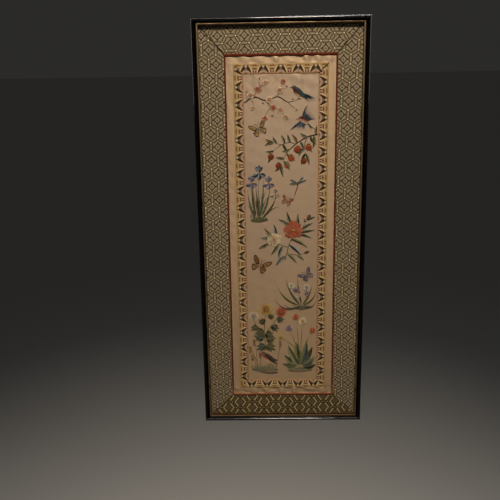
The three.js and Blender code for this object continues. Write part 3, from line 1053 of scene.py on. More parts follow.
class Needlework:
    """The stitches and knots of one motif, in millimetres on the face."""

    def __init__(self, name, seed):
        self.name = name
        self.draw = random.Random(seed)
        self.rows, self.colours = [], []
        self.knots, self.knot_colours = [], []

    def stitch(self, start, end, colour, layer=0, width=THREAD_W):
        colour = colour * self.draw.uniform(0.84, 1.14)
        self.rows.append((start[0], start[1], end[0], end[1], width, layer))
        self.colours.append(colour)

    def knot(self, place, radius, colour, layer=1):
        self.knots.append((place[0], place[1], radius, layer))
        self.knot_colours.append(colour * self.draw.uniform(0.85, 1.15))

    def stem(self, points, names, strands=1, taper=0.5, layer=0, length=3.4):
        """Stem stitch: short stitches that overlap along a line, in one row or more."""
        line = curve(points, 60)
        steps = np.hypot(*np.diff(line, axis=0).T)
        run = np.concatenate([[0], np.cumsum(steps)])
        for strand in range(strands):
            side = (strand - (strands - 1) / 2) * THREAD_GAP
            reach = run[-1] * (1 - taper * abs(side) / max(strands * THREAD_GAP / 2, 1e-6) * 0.6)
            s = self.draw.uniform(0, length / 2)
            while s < reach - 0.8:
                e = min(s + length, reach)
                ends = []
                for at, lean in ((s, -0.09), (e, 0.09)):
                    place = np.array([np.interp(at, run, line[:, k]) for k in (0, 1)])
                    ahead = np.array([np.interp(at + 0.5, run, line[:, k]) for k in (0, 1)])
                    back = np.array([np.interp(at - 0.5, run, line[:, k]) for k in (0, 1)])
                    off = side * (1 - taper * at / run[-1]) + lean
                    ends.append(place + sideways(unit(ahead - back)) * off)
                share = (strand + 0.5) / strands if strands > 1 else s / run[-1]
                self.stitch(ends[0], ends[1], blend_tones(names, share), layer)
                s += length * 0.55

    def leaf(self, base, tip, wide, bow, names, layer=0, rib=None, fullest=0.42, slant=0.13):
        """Satin stitch from the midrib out to both edges; names runs from one edge to the other."""
        base, tip, length, across = between(base, tip)

        def axis(t):
            return base + (tip - base) * t + across * bow * 4 * t * (1 - t)

        power = math.log(0.5) / math.log(fullest)

        def half(t):
            return wide / 2 * math.sin(math.pi * min(max(t, 0.0), 1.0) ** power) ** 0.85

        count = max(4, round(length * 1.02 / THREAD_GAP))
        for side, share in ((-1, 0.0), (1, 1.0)):
            for k in range(count):
                t = (k + 0.5) / count
                edge = min(1.0, t + slant * (1 - t * 0.7))
                ahead = unit(axis(edge + 0.02) - axis(edge - 0.02))
                out = half(edge) * self.draw.uniform(0.95, 1.03)
                end = axis(edge) + sideways(ahead) * side * max(out, 0.25)
                colour = blend_tones(names, min(max(share + (t - 0.5) * 0.25, 0), 1))
                self.stitch(axis(t * 0.97), end, colour, layer)
        if rib:
            self.stem([axis(t) for t in (0.0, 0.3, 0.6, 0.93)], (rib, rib), 1, layer=layer + 1)
        return axis

    def blade(self, base, tip, wide, bow, names, layer=0):
        """A long grassy leaf in rows of stitches that follow its length."""
        base, tip, length, across = between(base, tip)
        rows = max(2, round(wide / THREAD_GAP))
        for row in range(rows):
            q = (row + 0.5) / rows * 2 - 1
            start, stop = 0.02 + 0.12 * abs(q), 1 - 0.55 * abs(q) ** 1.2
            t = start - self.draw.uniform(0, 0.04)
            step = 5.2 / length
            while t < stop - 0.01:
                ends = []
                for at in (max(t, start), min(t + step, stop)):
                    body = math.sin(math.pi * (0.12 + 0.88 * at) ** 0.8)
                    off = bow * 4 * at * (1 - at) + q * wide / 2 * body
                    ends.append(base + (tip - base) * at + across * off)
                self.stitch(ends[0], ends[1], blend_tones(names, (q + 1) / 2), layer)
                t += step * 0.9

    def petal(self, angle, length, spread, names, place, layer=0, notch=0.06, inner=0.12):
        """Long and short stitches that point at the flower's centre, in three tones.

        place(point) lays a point of the flat flower on the face."""
        count = max(5, round(length * math.radians(spread) * 0.8 / THREAD_GAP))
        for ring, (outer, close) in enumerate(((1.0, 0.62), (0.7, 0.34), (0.42, inner))):
            number = max(3, round(count * (outer + 0.1)))
            for k in range(number):
                q = (k + 0.5) / number * 2 - 1
                reach = length * (1 - 0.2 * abs(q) ** 3 - notch * math.exp(-(q / 0.22) ** 2))
                far = reach * (outer - (0.0 if ring == 0 else self.draw.uniform(0, 0.1)))
                near = reach * (close + self.draw.uniform(-0.07, 0.07))
                turn = math.radians(angle + q * spread / 2 * (1.0 if ring == 0 else 0.94))
                tight = math.radians(angle + q * spread / 2 * 0.9)
                start = (far * math.cos(turn), far * math.sin(turn))
                end = (near * math.cos(tight), near * math.sin(tight))
                self.stitch(place(start), place(end), blend_tones(names, ring / 2), layer)

    def flower(self, centre, radius, petals, names, squash=1.0, turn=0.0, layer=0, rings=1, heart="straw"):
        """Rings of petals round a heart of knots, seen a little from one side when squashed."""
        for ring in range(rings):
            size = radius * (1 - 0.34 * ring)

            def place(p, lift=ring * radius * 0.06):
                return turned([(p[0], p[1] + lift)], turn, 1.0, centre, squash)[0]

            number = max(4, petals - ring)
            for k in range(number):
                angle = 360 / number * k + ring * 37 + self.draw.uniform(-5, 5)
                reach = size * self.draw.uniform(0.92, 1.06)
                self.petal(angle, reach, 360 / number, names, place, layer + ring)
        spots = max(5, round(radius * 1.1))
        for k in range(spots):
            far = radius * 0.16 * math.sqrt((k + 0.5) / spots)
            p = (far * math.cos(k * 2.4), far * math.sin(k * 2.4))
            self.knot(turned([p], turn, 1.0, centre, squash)[0], 0.5, tone(heart), layer + rings)

    def fill(self, outline, angle, names, towards=None, layer=0, longest=6.5):
        """Fills an outline with stitches laid at an angle; names runs from one end to the other."""
        line = curve(list(outline) + [outline[0]], 12 * len(outline))
        flat = turned(line, -angle)
        low, high = flat[:, 1].min(), flat[:, 1].max()
        rows = max(2, round((high - low) / THREAD_GAP))
        way = unit(np.array(towards if towards is not None else (0.0, 1.0), float))
        reach = line @ way
        for row in range(rows):
            z = low + (row + 0.5) / rows * (high - low)
            crossings = []
            for p, q in zip(flat[:-1], flat[1:]):
                if (p[1] - z) * (q[1] - z) < 0:
                    crossings.append(p[0] + (z - p[1]) / (q[1] - p[1]) * (q[0] - p[0]))
            crossings.sort()
            for a, b in zip(crossings[::2], crossings[1::2]):
                if b - a < 0.5:
                    continue
                pieces = max(1, math.ceil((b - a) / longest))
                marks = [a]
                for k in range(1, pieces):
                    marks.append(a + (b - a) * (k + self.draw.uniform(-0.22, 0.22)) / pieces)
                marks.append(b)
                for start, end in zip(marks[:-1], marks[1:]):
                    ends = turned([(start, z), (end + (0.25 if end < b else 0), z)], angle)
                    at = (ends.mean(0) @ way - reach.min()) / (reach.max() - reach.min())
                    self.stitch(ends[0], ends[1], blend_tones(names, at), layer)

    def fruit(self, centre, radius, names, layer=0):
        """A round fruit in slightly bowed satin stitch, with a small calyx of leaves on top."""
        turns = np.linspace(0, 2 * math.pi, 11)[:-1]
        ring = [(radius * math.cos(a), radius * 0.92 * math.sin(a)) for a in turns]
        self.fill(turned(ring, 0, 1.0, centre), 8, names, (0.6, 1.0), layer, longest=2.4 * radius)
        top = np.array(centre) + (0, radius * 0.8)
        for a in np.radians((20, 70, 115, 165)):
            tip = top + (3.4 * math.cos(a), 2.4 * math.sin(a))
            self.leaf(top, tip, 1.5, 0.2, ("moss", "olive"), layer + 1)

    def butterfly(self, centre, size, turn, names, edge="charcoal", layer=0):
        """Two pairs of wings with dark borders and spots, a body and feelers."""
        fore = ((0.06, 0.1), (0.34, 0.55), (0.78, 0.86), (1.02, 0.78), (0.86, 0.38), (0.48, 0.04))
        hind = ((0.06, 0.0), (0.45, 0.02), (0.76, -0.12), (0.7, -0.5), (0.44, -0.7), (0.2, -0.44))
        for mirror in (-1, 1):
            for wing, lean in ((hind, -35), (fore, 38)):
                shape = np.array(wing) * (mirror, 1)
                heart = shape.mean(0)
                rim = turned(shape, turn, size, centre)
                field = turned(heart + (shape - heart) * 0.78, turn, size, centre)
                laid = turn + lean * mirror + (0 if mirror > 0 else 180)
                self.fill(rim, laid, (edge, edge), None, layer)
                self.fill(field, laid, names, turned([(mirror, 0.3)], turn)[0], layer + 1, longest=9)
                for share in (0.35, 0.6, 0.85):
                    spot = heart + (shape[3] - heart) * share
                    self.knot(turned([spot], turn, size, centre)[0], 0.45, tone("cream"), layer + 2)
        body = turned([(0, 0.42), (0, 0.1), (0, -0.3), (0, -0.56)], turn, size, centre)
        self.stem(body, (edge, "umber"), 3, layer=layer + 2, length=2.2)
        for mirror in (-1, 1):
            feeler = turned([(0, 0.4), (0.1 * mirror, 0.62), (0.3 * mirror, 0.8)], turn, size, centre)
            self.stem(feeler, (edge, edge), 1, layer=layer + 1, length=2.0)
            self.knot(feeler[-1], 0.4, tone(edge), layer + 1)

    def sew(self, material):
        """One mesh of all the stitches and knots."""
        rows, colours = np.array(self.rows), np.array(self.colours)
        start, end = rows[:, 0:2], rows[:, 2:4]
        way = end - start
        length = np.hypot(*way.T)
        across = np.stack([-way[:, 1], way[:, 0]], 1) / length[:, None]
        points, strand = [], []
        rise = rows[:, 5] * LAYER_RISE
        for share in (0.0, STITCH_SHOULDER, 1 - STITCH_SHOULDER, 1.0):
            spots = ((0.0, 0.0),) if share in (0.0, 1.0) else ((-0.5, 0.0), (0.0, 1.0), (0.5, 0.0))
            for side, crown in spots:
                flat = start + way * share + across * (side * rows[:, 4])[:, None]
                depth = satin_height(flat[:, 0], flat[:, 1]) - SUNK + rise
                depth = depth + crown * (THREAD_H + SUNK)
                points.append(np.stack([flat[:, 0], depth, flat[:, 1]], 1))
                strand.append(np.stack([share * length, side * rows[:, 4]], 1))
        points = np.stack(points, 1).reshape(-1, 3)
        strand = np.stack(strand, 1).reshape(-1, 2)
        faces = [tuple(8 * n + k for k in face) for n in range(len(rows)) for face in STITCH_FACES]
        tints = np.repeat(colours, 8, 0)
        if self.knots:
            extra, knot_faces, knot_tints = self.knot_mesh(len(points))
            points, faces = np.vstack([points, extra]), faces + knot_faces
            strand = np.vstack([strand, extra[:, [0, 2]]])
            tints = np.vstack([tints, knot_tints])
        piece = make_mesh(f"needlework_{self.name}", points, faces, material, sharp=75.0)
        give_uv(piece, "strand", strand)
        give_bake_uv(piece)
        give_colours(piece, "yarn", np.hstack([tints, np.ones((len(tints), 1))]), "POINT")
        finish(piece, "thread")

    def knot_mesh(self, first):
        """Low domes for the French knots."""
        points, faces, tints = [], [], []
        for (x, z, radius, layer), colour in zip(self.knots, self.knot_colours):
            base = float(satin_height(x, z)) + layer * LAYER_RISE - SUNK
            n = first + len(points)
            for share, rise in ((1.0, 0.0), (0.8, 0.34)):
                for k in range(6):
                    a, far = k * math.pi / 3 + rise, radius * share
                    points.append((x + far * math.cos(a), base + rise, z + far * math.sin(a)))
            points.append((x, base + 0.5, z))
            for k in range(6):
                m = (k + 1) % 6
                faces += [(n + k, n + 6 + k, n + 6 + m, n + m), (n + 6 + k, n + 12, n + 6 + m)]
            faces.append(tuple(n + k for k in range(6)))
            tints += [colour] * 13
        return np.array(points), faces, np.array(tints)


# The motifs, placed in millimetres from the middle of the face
def sew_plant(name, seed, stems=(), blades=(), leaves=(), greens=(), blooms=(), fruits=(), buds=()):
    """One plant: its stems and leaves are one piece, its flowers and fruits another."""
    green = Needlework(f"{name}_leaves", seed)
    for names, strands, *points in stems:
        green.stem(points, names, strands, taper=0.6)
    for n, (x0, z0, x1, z1, wide, bow) in enumerate(blades):
        green.blade((x0, z0), (x1, z1), wide, bow, greens[n % len(greens)][:2], n % 3)
    for n, (x0, z0, x1, z1, wide, bow) in enumerate(leaves):
        shade = greens[n % len(greens)]
        green.leaf((x0, z0), (x1, z1), wide, bow, shade, n % 3, rib=shade[-1] if n % 3 else "charcoal")
    green.sew(THREAD)
    bloom = Needlework(f"{name}_blooms", seed + 1)
    for n, (x, z, radius, petals, rings, names) in enumerate(blooms):
        bloom.flower((x, z), radius, petals, names, 0.9, 23 * n, 2, rings, "gold" if n % 2 else "straw")
    for x, z, radius, names in fruits:
        bloom.fruit((x, z), radius, names, 1)
    for x, z, angle, size, names in buds:
        tip = away((x, z), size, angle)
        bloom.leaf((x, z), tip, size * 0.62, 0.2, names, 2, fullest=0.56)
        bloom.leaf((x, z), (tip + (x, z)) / 2, size * 0.4, 0.2, ("moss", "olive"), 3)
    if bloom.rows:
        bloom.sew(THREAD)


def sew_plum():
    """A plum branch from the upper left, with small blossoms and buds."""
    bark, twig = ("umber", "charcoal", "black"), ("charcoal", "umber")
    light, warm = ("cream", "blush", "coral"), ("blush", "coral", "wine")
    spots = (
        (-43, 281, 7.4), (-29, 293, 6.4), (-22, 262, 7.0), (-15, 247, 6.6), (-1, 242, 7.6), (-2, 279, 7.0),
        (4, 295, 6.2), (-57, 270, 7.2), (9, 229, 6.0), (-31, 227, 6.2), (-54, 247, 5.6),
    )
    sew_plant(
        "plum", 101,
        stems=(
            (bark, 6, (-70, 256), (-50, 267), (-28, 260), (-6, 267), (13, 257), (32, 261), (45, 265)),
            (bark, 3, (-51, 267), (-43, 281), (-29, 293)),
            (bark, 3, (-29, 260), (-17, 247), (-3, 243), (9, 230)),
            (bark, 3, (-7, 267), (-1, 280), (4, 294)), (twig, 2, (-19, 249), (-27, 238), (-31, 228)),
            (twig, 2, (12, 257), (22, 248), (30, 244)), (twig, 2, (-62, 261), (-66, 268), (-66, 277)),
            (twig, 2, (-37, 286), (-41, 292), (-40, 300)), (twig, 1, (0, 283), (7, 281), (12, 285)),
            (twig, 1, (-11, 245), (-14, 239), (-15, 231)), (twig, 2, (-57, 263), (-52, 255), (-54, 248)),
        ),
        greens=(bark,),
        blooms=[(x, z, r, 5, 1, warm if n % 3 == 0 else light) for n, (x, z, r) in enumerate(spots)],
        buds=[(x, z, 40 + 47 * n, 4.2, ("wine", "coral", "blush")) for n, (x, z) in enumerate((
            (-66, 276), (-40, 299), (12, 285), (-15, 232), (30, 244), (-10, 270), (-36, 257), (20, 262)))])


def sew_songbird(name, seed, centre, size, turn, mirror, coat, breast, tail_length=1.0, plump=1.0):
    """A perched bird, drawn on a body about one unit long and laid on the face."""
    bird = Needlework(name, seed)

    def at(*points):
        p = np.array(points, float) * (mirror, plump)
        return turned(p, turn * mirror, size, centre)

    for n, (x, z) in enumerate(((0.75, -0.42), (1.0, -0.26), (0.88, -0.54), (0.65, -0.58), (1.02, -0.4))):
        rump, tip = at((0.2, -0.08), (0.2 + x * tail_length, -0.08 + z * tail_length))
        shades = (coat[n % 3], coat[(n + 1) % 3])
        bird.blade(rump, tip, 0.12 * size, 0.04 * size * (n % 3 - 1), shades, n % 2)
    body = at((-0.55, 0.22), (-0.36, 0.36), (-0.1, 0.3), (0.2, 0.06), (0.34, -0.12), (0.1, -0.26),
              (-0.22, -0.26), (-0.46, -0.04))
    bird.fill(body, (-32 + turn) * mirror, (*breast, coat[1], coat[0]), (0.3 * mirror, 1.0), 1, 3.6)
    head = at((-0.62, 0.22), (-0.6, 0.36), (-0.46, 0.44), (-0.32, 0.38), (-0.32, 0.24), (-0.46, 0.16))
    bird.fill(head, (20 + turn) * mirror, (breast[1], coat[0], "black"), (0, 1), 2, 2.8)
    for row, (reach, count) in enumerate(((0.5, 6), (0.32, 5), (0.18, 4))):
        for k in range(count):
            root = (-0.3 + 0.05 * k, 0.22 - 0.07 * k)
            root, tip = at(root, (-0.28 + 0.06 * k + reach, 0.2 - 0.09 * k - 0.4 * reach))
            shades = (coat[(k + row) % 3], "mist" if row == 1 else coat[0], coat[2])
            bird.leaf(root, tip, 0.1 * size, 0.02 * size * mirror, shades, 3 + row)
    beak = at((-0.6, 0.33), (-0.78, 0.27), (-0.6, 0.27))
    bird.stitch(beak[0], beak[1], tone("charcoal"), 3)
    bird.stitch(beak[2], beak[1], tone("gold"), 3)
    bird.knot(at((-0.48, 0.33))[0], 0.8, tone("cream"), 3)
    bird.knot(at((-0.48, 0.33))[0], 0.5, tone("black"), 4)
    for shift in (-0.04, 0.08):
        hip, ankle, *toes = at(*((shift + x, z) for x, z in (
            (0, -0.22), (-0.03, -0.44), (-0.15, -0.49), (-0.02, -0.52), (0.08, -0.47))))
        for toe in toes:
            bird.stitch(hip, ankle, tone("umber"), 0)
            bird.stitch(ankle, toe, tone("umber"), 1)
    bird.sew(THREAD)


def sew_swallow():
    """A swallow with open wings and a forked tail."""
    bird = Needlework("swallow", 104)
    for tip, bow in (((66, 205), -1.6), ((57, 200), 1.8)):
        bird.blade((50, 217), tip, 2.6, bow, ("navy", "slate"))
    for k in range(7):
        bird.blade((41 + 1.3 * k, 226 - 0.9 * k), (49 + 2.6 * k, 250 - 4.2 * k), 3.0, 2.2,
                   ("navy", "slate") if k % 2 else ("charcoal", "slate"), k // 3)
        bird.blade((40 + 1.2 * k, 221 - 0.7 * k), (18 + 4.2 * k, 205 - 0.4 * k), 2.8, -1.8,
                   ("slate", "navy") if k % 2 else ("slate", "mist"), k // 3)
    for edge in (((40, 226), (43, 238), (50, 251)), ((39, 222), (30, 214), (17, 205))):
        bird.stem(edge, ("black", "navy"), 3, taper=0.3, layer=3)
    body = ((31, 226), (34, 229), (39, 230), (45, 226), (52, 218), (50, 215), (43, 217), (35, 221))
    bird.fill(body, -32, ("cream", "blush", "rust", "navy"), (0.4, 1), 3, 3.6)
    bird.knot((34.4, 226.6), 0.6, tone("black"), 4)
    bird.stitch((31.6, 226.0), (28.4, 224.6), tone("charcoal"), 3)
    bird.sew(THREAD)


def sew_bough():
    """A bough from the right edge with narrow hanging leaves and round fruits."""
    bark = ("umber", "brown", "charcoal")
    red = ("wine", "rust", "flame", "gold")
    sew_plant(
        "bough", 106,
        stems=(
            (bark, 6, (70, 196), (50, 191), (28, 178), (10, 160), (1, 138)),
            (bark, 3, (50, 191), (44, 175), (46, 158)),
            (bark, 3, (28, 178), (14, 181), (0, 177), (-14, 181)),
            (bark, 2, (0, 177), (-12, 168), (-20, 158)),
        ),
        leaves=(
            (62, 194, 60, 168, 6.2, 1.8), (55, 192, 66, 176, 5.6, -1.4), (50, 190, 36, 199, 5.8, 1.4),
            (46, 176, 59, 161, 5.8, 1.6), (45, 170, 33, 154, 6.0, -1.6), (46, 160, 53, 138, 6.0, 1.8),
            (46, 160, 39, 136, 5.8, -1.6), (36, 183, 42, 166, 5.4, 1.4), (30, 179, 20, 196, 5.8, -1.6),
            (18, 180, 12, 197, 5.4, 1.2), (6, 178, 0, 195, 5.6, -1.2), (2, 177, 10, 164, 5.2, 1.2),
            (-8, 179, -16, 193, 5.6, 1.4), (-14, 181, -30, 188, 5.8, 1.4), (-14, 181, -31, 176, 5.6, -1.2),
            (-14, 165, -30, 164, 5.4, 1.4), (-20, 158, -26, 142, 5.6, 1.6), (16, 168, 2, 164, 5.6, 1.2),
            (10, 160, 27, 146, 5.8, -1.4), (6, 151, -10, 153, 5.6, 1.4), (4, 146, 16, 128, 5.8, 1.4),
            (1, 139, -13, 126, 6.0, 1.8), (1, 138, 4, 114, 6.0, -1.8), (66, 195, 68, 213, 5.0, 1.2),
        ),
        greens=(("olive", "moss", "sage"), ("charcoal", "olive", "moss"), ("teal", "olive", "sage"),
                ("brown", "umber", "gold"), ("charcoal", "teal", "sage")),
        fruits=(
            (31, 167, 7.8, red), (19, 151, 7.0, red[1:]), (52, 171, 7.2, red[1:]), (-5, 136, 6.8, red[:3]),
            (11, 137, 6.4, ("rust", "coral", "gold")), (-20, 154, 6.6, red), (43, 145, 6.4, red[:3])))


def sew_mound(name, seed, layers, grass):
    """A low mound in rows of long stitches, with tufts of grass along its top."""
    mound = Needlework(name, seed)
    for level, (names, *outline) in enumerate(layers):
        mound.fill(outline, 3 - 2 * level, names, (0, 1), level, 8)
    x0, x1, z0, z1 = grass
    for n in range(round((x1 - x0) / 1.7)):
        x = x0 + 1.7 * n + mound.draw.uniform(-0.7, 0.7)
        z = z0 + (z1 - z0) * (x - x0) / (x1 - x0)
        lean, high = mound.draw.uniform(-3.5, 3.5), mound.draw.uniform(4, 10)
        root = tone("olive", "teal", mound.draw.random())
        mound.stitch((x, z), (x + lean * 0.4, z + high * 0.55), root, 3)
        mound.stitch((x + lean * 0.4, z + high * 0.5), (x + lean, z + high), tone("moss", "sage", 0.5), 3)
    mound.sew(THREAD)


def sew_iris():
    """Blue and mauve irises standing among blades on a mound, on the left."""
    sew_mound("iris_mound", 108, (
        (("olive", "moss", "sage"),
         (-63, 27), (-54, 34), (-44, 36), (-32, 34), (-26, 28), (-36, 25), (-52, 24)),
    ), (-62, -28, 31, 30))
    sew_plant(
        "iris", 109,
        stems=[(("olive", "moss"), 3, (-46, 32), ((x - 46) / 2, 70), (x, z)) for x, z in (
            (-58, 103), (-44, 121), (-26, 102), (-14, 80))],
        blades=(
            (-52, 32, -66, 90, 4.8, 3.0), (-50, 33, -58, 112, 5.0, 2.0), (-47, 34, -50, 98, 4.6, -1.0),
            (-44, 34, -35, 114, 5.0, -2.4), (-41, 34, -22, 98, 4.8, -3.6), (-39, 33, -10, 80, 4.6, -5.0),
            (-53, 31, -68, 60, 4.2, -3.4), (-37, 32, -4, 56, 4.2, 4.4), (-46, 34, -41, 80, 4.2, 1.0),
            (-43, 34, -28, 74, 4.0, 2.0)),
        greens=(("teal", "sage"), ("olive", "moss"), ("charcoal", "moss"), ("slate", "sage")))
    blooms = Needlework("iris_petals", 111)
    for x, z, size, names in (
            (-58, 105, 14, ("lilac", "mauve", "slate")), (-43, 124, 15.5, ("mist", "slate", "navy")),
            (-25, 104, 14, ("lilac", "mist", "slate")), (-13, 82, 11, ("cream", "lilac", "mauve"))):
        for angle, reach, wide in ((60, 0.85, 0.42), (120, 0.85, 0.42), (90, 0.95, 0.5)):
            tip = away((x, z), size * reach, angle)
            blooms.leaf((x, z), tip, size * wide, 0.3, names[::-1], 1, fullest=0.6)
        for angle, bow in ((203, 2.2), (-23, -2.2), (-90, 0.3)):
            tip = away((x, z - 1), size * 0.92, angle)
            axis = blooms.leaf((x, z), tip, size * 0.58, bow, names, 2, fullest=0.66)
            for share in (0.1, 0.2, 0.3):
                blooms.knot(axis(share), 0.6, tone("gold"), 4)
    blooms.sew(THREAD)


def sew_dragonfly():
    """A dragonfly with four veined wings."""
    fly = Needlework("dragonfly", 112)
    body = np.array((32.0, 100.0))
    for angle, reach in ((24, 19), (52, 18), (150, 18), (178, 17)):
        tip = away(body, reach, angle)
        fly.leaf(body, tip, 4.6, 0.5, ("mist", "pearl", "sage"), 0, rib="charcoal", fullest=0.66)
        fly.stem((body, (body + tip) / 2 + (0, 2.4), tip), ("slate", "charcoal"), 2, layer=2)
        fly.knot(tip - (tip - body) * 0.12, 0.6, tone("brown"), 3)
    tail = (body + (0.5, 3), body, body - (3, 11), body - (8, 27))
    fly.stem(tail, ("wine", "flame", "rust"), 5, 0.6, 2, 2.4)
    for shift in (-0.9, 0.9):
        fly.knot(body + (shift + 0.6, 4.2), 0.95, tone("teal"), 3)
    fly.sew(THREAD)


def sew_peonies():
    """The middle group: two open peonies, buds and narrow leaves."""
    sew_plant(
        "peony", 113,
        stems=(
            (("olive", "moss"), 4, (6, -56), (13, -28), (22, 0)),
            (("olive", "moss"), 3, (13, -28), (0, -24), (-12, -16)),
            (("olive", "brown"), 3, (17, -16), (36, 4), (50, 30)),
            (("olive", "charcoal"), 3, (10, -40), (30, -44), (46, -40)),
        ),
        leaves=(
            (22, 2, 60, -10, 7.6, 1.8), (24, 6, 66, 8, 7.2, -1.8), (18, -10, 50, -28, 7.6, 2.4),
            (14, -22, 38, -46, 7.2, 2.0), (-10, -16, -42, -8, 7.4, -1.8), (-26, -19, -46, -29, 6.6, 1.4),
            (-6, -20, -22, -44, 7.4, 1.4), (2, -26, -6, -50, 6.8, -1.4), (20, 10, -6, 30, 7.2, -1.8),
            (22, 12, 10, 46, 7.0, 1.6), (10, -40, 30, -62, 6.6, 1.8), (8, -46, -12, -66, 6.6, -1.8),
            (38, 8, 62, 22, 6.4, 1.2), (34, 6, 32, 42, 6.4, 1.4), (-14, -10, -34, 12, 6.8, 1.8),
            (-12, -8, -16, 20, 6.4, -1.4), (30, -44, 44, -56, 5.8, 1.2), (50, 28, 65, 34, 5.4, 0.8),
        ),
        greens=(("teal", "slate", "sage"), ("charcoal", "teal", "sage"), ("olive", "moss", "sage"),
                ("navy", "teal", "mist")),
        blooms=(
            (23, 8, 21, 8, 4, ("coral", "flame", "wine")),
            (-15, -12, 15.5, 7, 3, ("cream", "blush", "mauve"))),
        buds=((50, 28, 62, 13, ("wine", "flame", "coral")), (45, -40, 20, 10, ("wine", "rust", "coral")),
              (47, 24, 120, 8, ("wine", "coral", "blush"))))


def sew_butterflies():
    """Butterflies over the whole height of the panel."""
    for n, (x, z, size, turn, names, edge) in enumerate((
            (-42, 206, 17, 24, ("gold", "straw", "rust"), "charcoal"),
            (-44, -66, 20, -26, ("flame", "gold", "rust"), "black"),
            (50, -88, 15, 38, ("lilac", "mauve", "slate"), "navy"),
            (10, 66, 12, -24, ("cream", "coral", "rust"), "umber"))):
        fly = Needlework(f"butterfly_{n + 1}", 120 + n)
        fly.butterfly((x, z), size, turn, names, edge)
        fly.sew(THREAD)


def sew_orchid():
    """Arching orchid leaves and small pale flowers, right of the middle."""
    sew_mound("orchid_mound", 130, (
        (("umber", "olive", "sage"),
         (22, -158), (32, -152), (44, -151), (58, -155), (52, -160), (36, -162)),
    ), (22, 58, -155, -155))
    sew_plant(
        "orchid", 131,
        stems=(
            (("moss", "umber"), 2, (39, -152), (34, -128), (19, -110)),
            (("moss", "umber"), 2, (41, -152), (50, -130), (50, -114))),
        blades=(
            (38, -152, -10, -106, 4.2, 10), (37, -153, -14, -140, 4.0, 13), (39, -152, 8, -92, 4.2, 6),
            (41, -152, 69, -116, 4.0, -8), (42, -153, 68, -142, 4.0, -9), (40, -152, 31, -90, 4.0, 1.5),
            (41, -152, 61, -104, 3.8, -4), (38, -153, 4, -150, 3.8, 7)),
        greens=(("moss", "olive"), ("charcoal", "olive"), ("teal", "moss")),
        blooms=(
            (19, -109, 7.0, 5, 1, ("pearl", "cream", "mauve")),
            (28, -119, 6.4, 5, 1, ("lilac", "mauve", "wine")),
            (33, -130, 6.0, 5, 1, ("pearl", "blush", "wine")),
            (50, -113, 7.0, 5, 1, ("pearl", "lilac", "mauve")),
            (50, -126, 6.2, 5, 1, ("lilac", "mauve", "wine"))))


def sew_chrysanthemums():
    """Chrysanthemums of many narrow petals, with lobed leaves, on the left."""
    green = Needlework("chrysanthemum_leaves", 114)
    for names, strands, *points in (
            (("olive", "moss"), 4, (-34, -246), (-37, -208), (-33, -168)),
            (("olive", "moss"), 3, (-36, -216), (-18, -190), (-4, -172)),
            (("olive", "brown"), 3, (-37, -208), (-54, -194), (-59, -178))):
        green.stem(points, names, strands, taper=0.4)
    for n, (x, z, angle, size) in enumerate((
            (-37, -206, 200, 19), (-36, -212, -25, 19), (-36, -224, 165, 21), (-35, -228, 12, 20),
            (-20, -193, -60, 17), (-12, -184, 10, 15), (-50, -196, 215, 15), (-34, -190, 150, 15),
            (-34, -238, 212, 20), (-34, -238, -32, 21), (-28, -180, 40, 13))):
        for lobe, (lean, reach) in enumerate(((-54, 0.62), (54, 0.62), (-27, 0.86), (27, 0.86), (0, 1.0))):
            root = away((x, z), 0.14 * size, angle)
            tip = away(root, size * reach, angle + lean)
            names = (("olive", "moss"), ("charcoal", "olive"), ("teal", "olive"))[n % 3]
            green.leaf(root, tip, 0.36 * size, 0.2, names, lobe // 2, rib="sage" if lobe > 1 else None)
    green.sew(THREAD)
    bloom = Needlework("chrysanthemum_blooms", 115)
    for x, z, radius, names in (
            (-33, -160, 19, ("straw", "gold", "rust")), (-2, -166, 13.5, ("coral", "flame", "wine")),
            (-58, -174, 11, ("cream", "lilac", "mauve"))):
        for ring, (reach, number) in enumerate(((1.0, 24), (0.78, 20), (0.55, 15), (0.33, 9))):
            for k in range(number):
                angle = 360 * (k + 0.5 * (ring % 2)) / number + bloom.draw.uniform(-3, 3)
                far = radius * reach * bloom.draw.uniform(0.93, 1.05)
                base, tip = turned([(0.14 * far, 0), (far, 0)], angle, 1.0, (x, z))
                shades = (names[min(ring, 2)], names[max(ring - 1, 0)])
                bloom.blade(base, tip, max(1.4, 2.9 - 0.45 * ring), 0.5, shades, ring)
        for k in range(9):
            spot = away((x, z), 1.7 * math.sqrt(k / 8), 137.5 * k)
            bloom.knot(spot, 0.6, tone("straw"), 5)
    bloom.sew(THREAD)


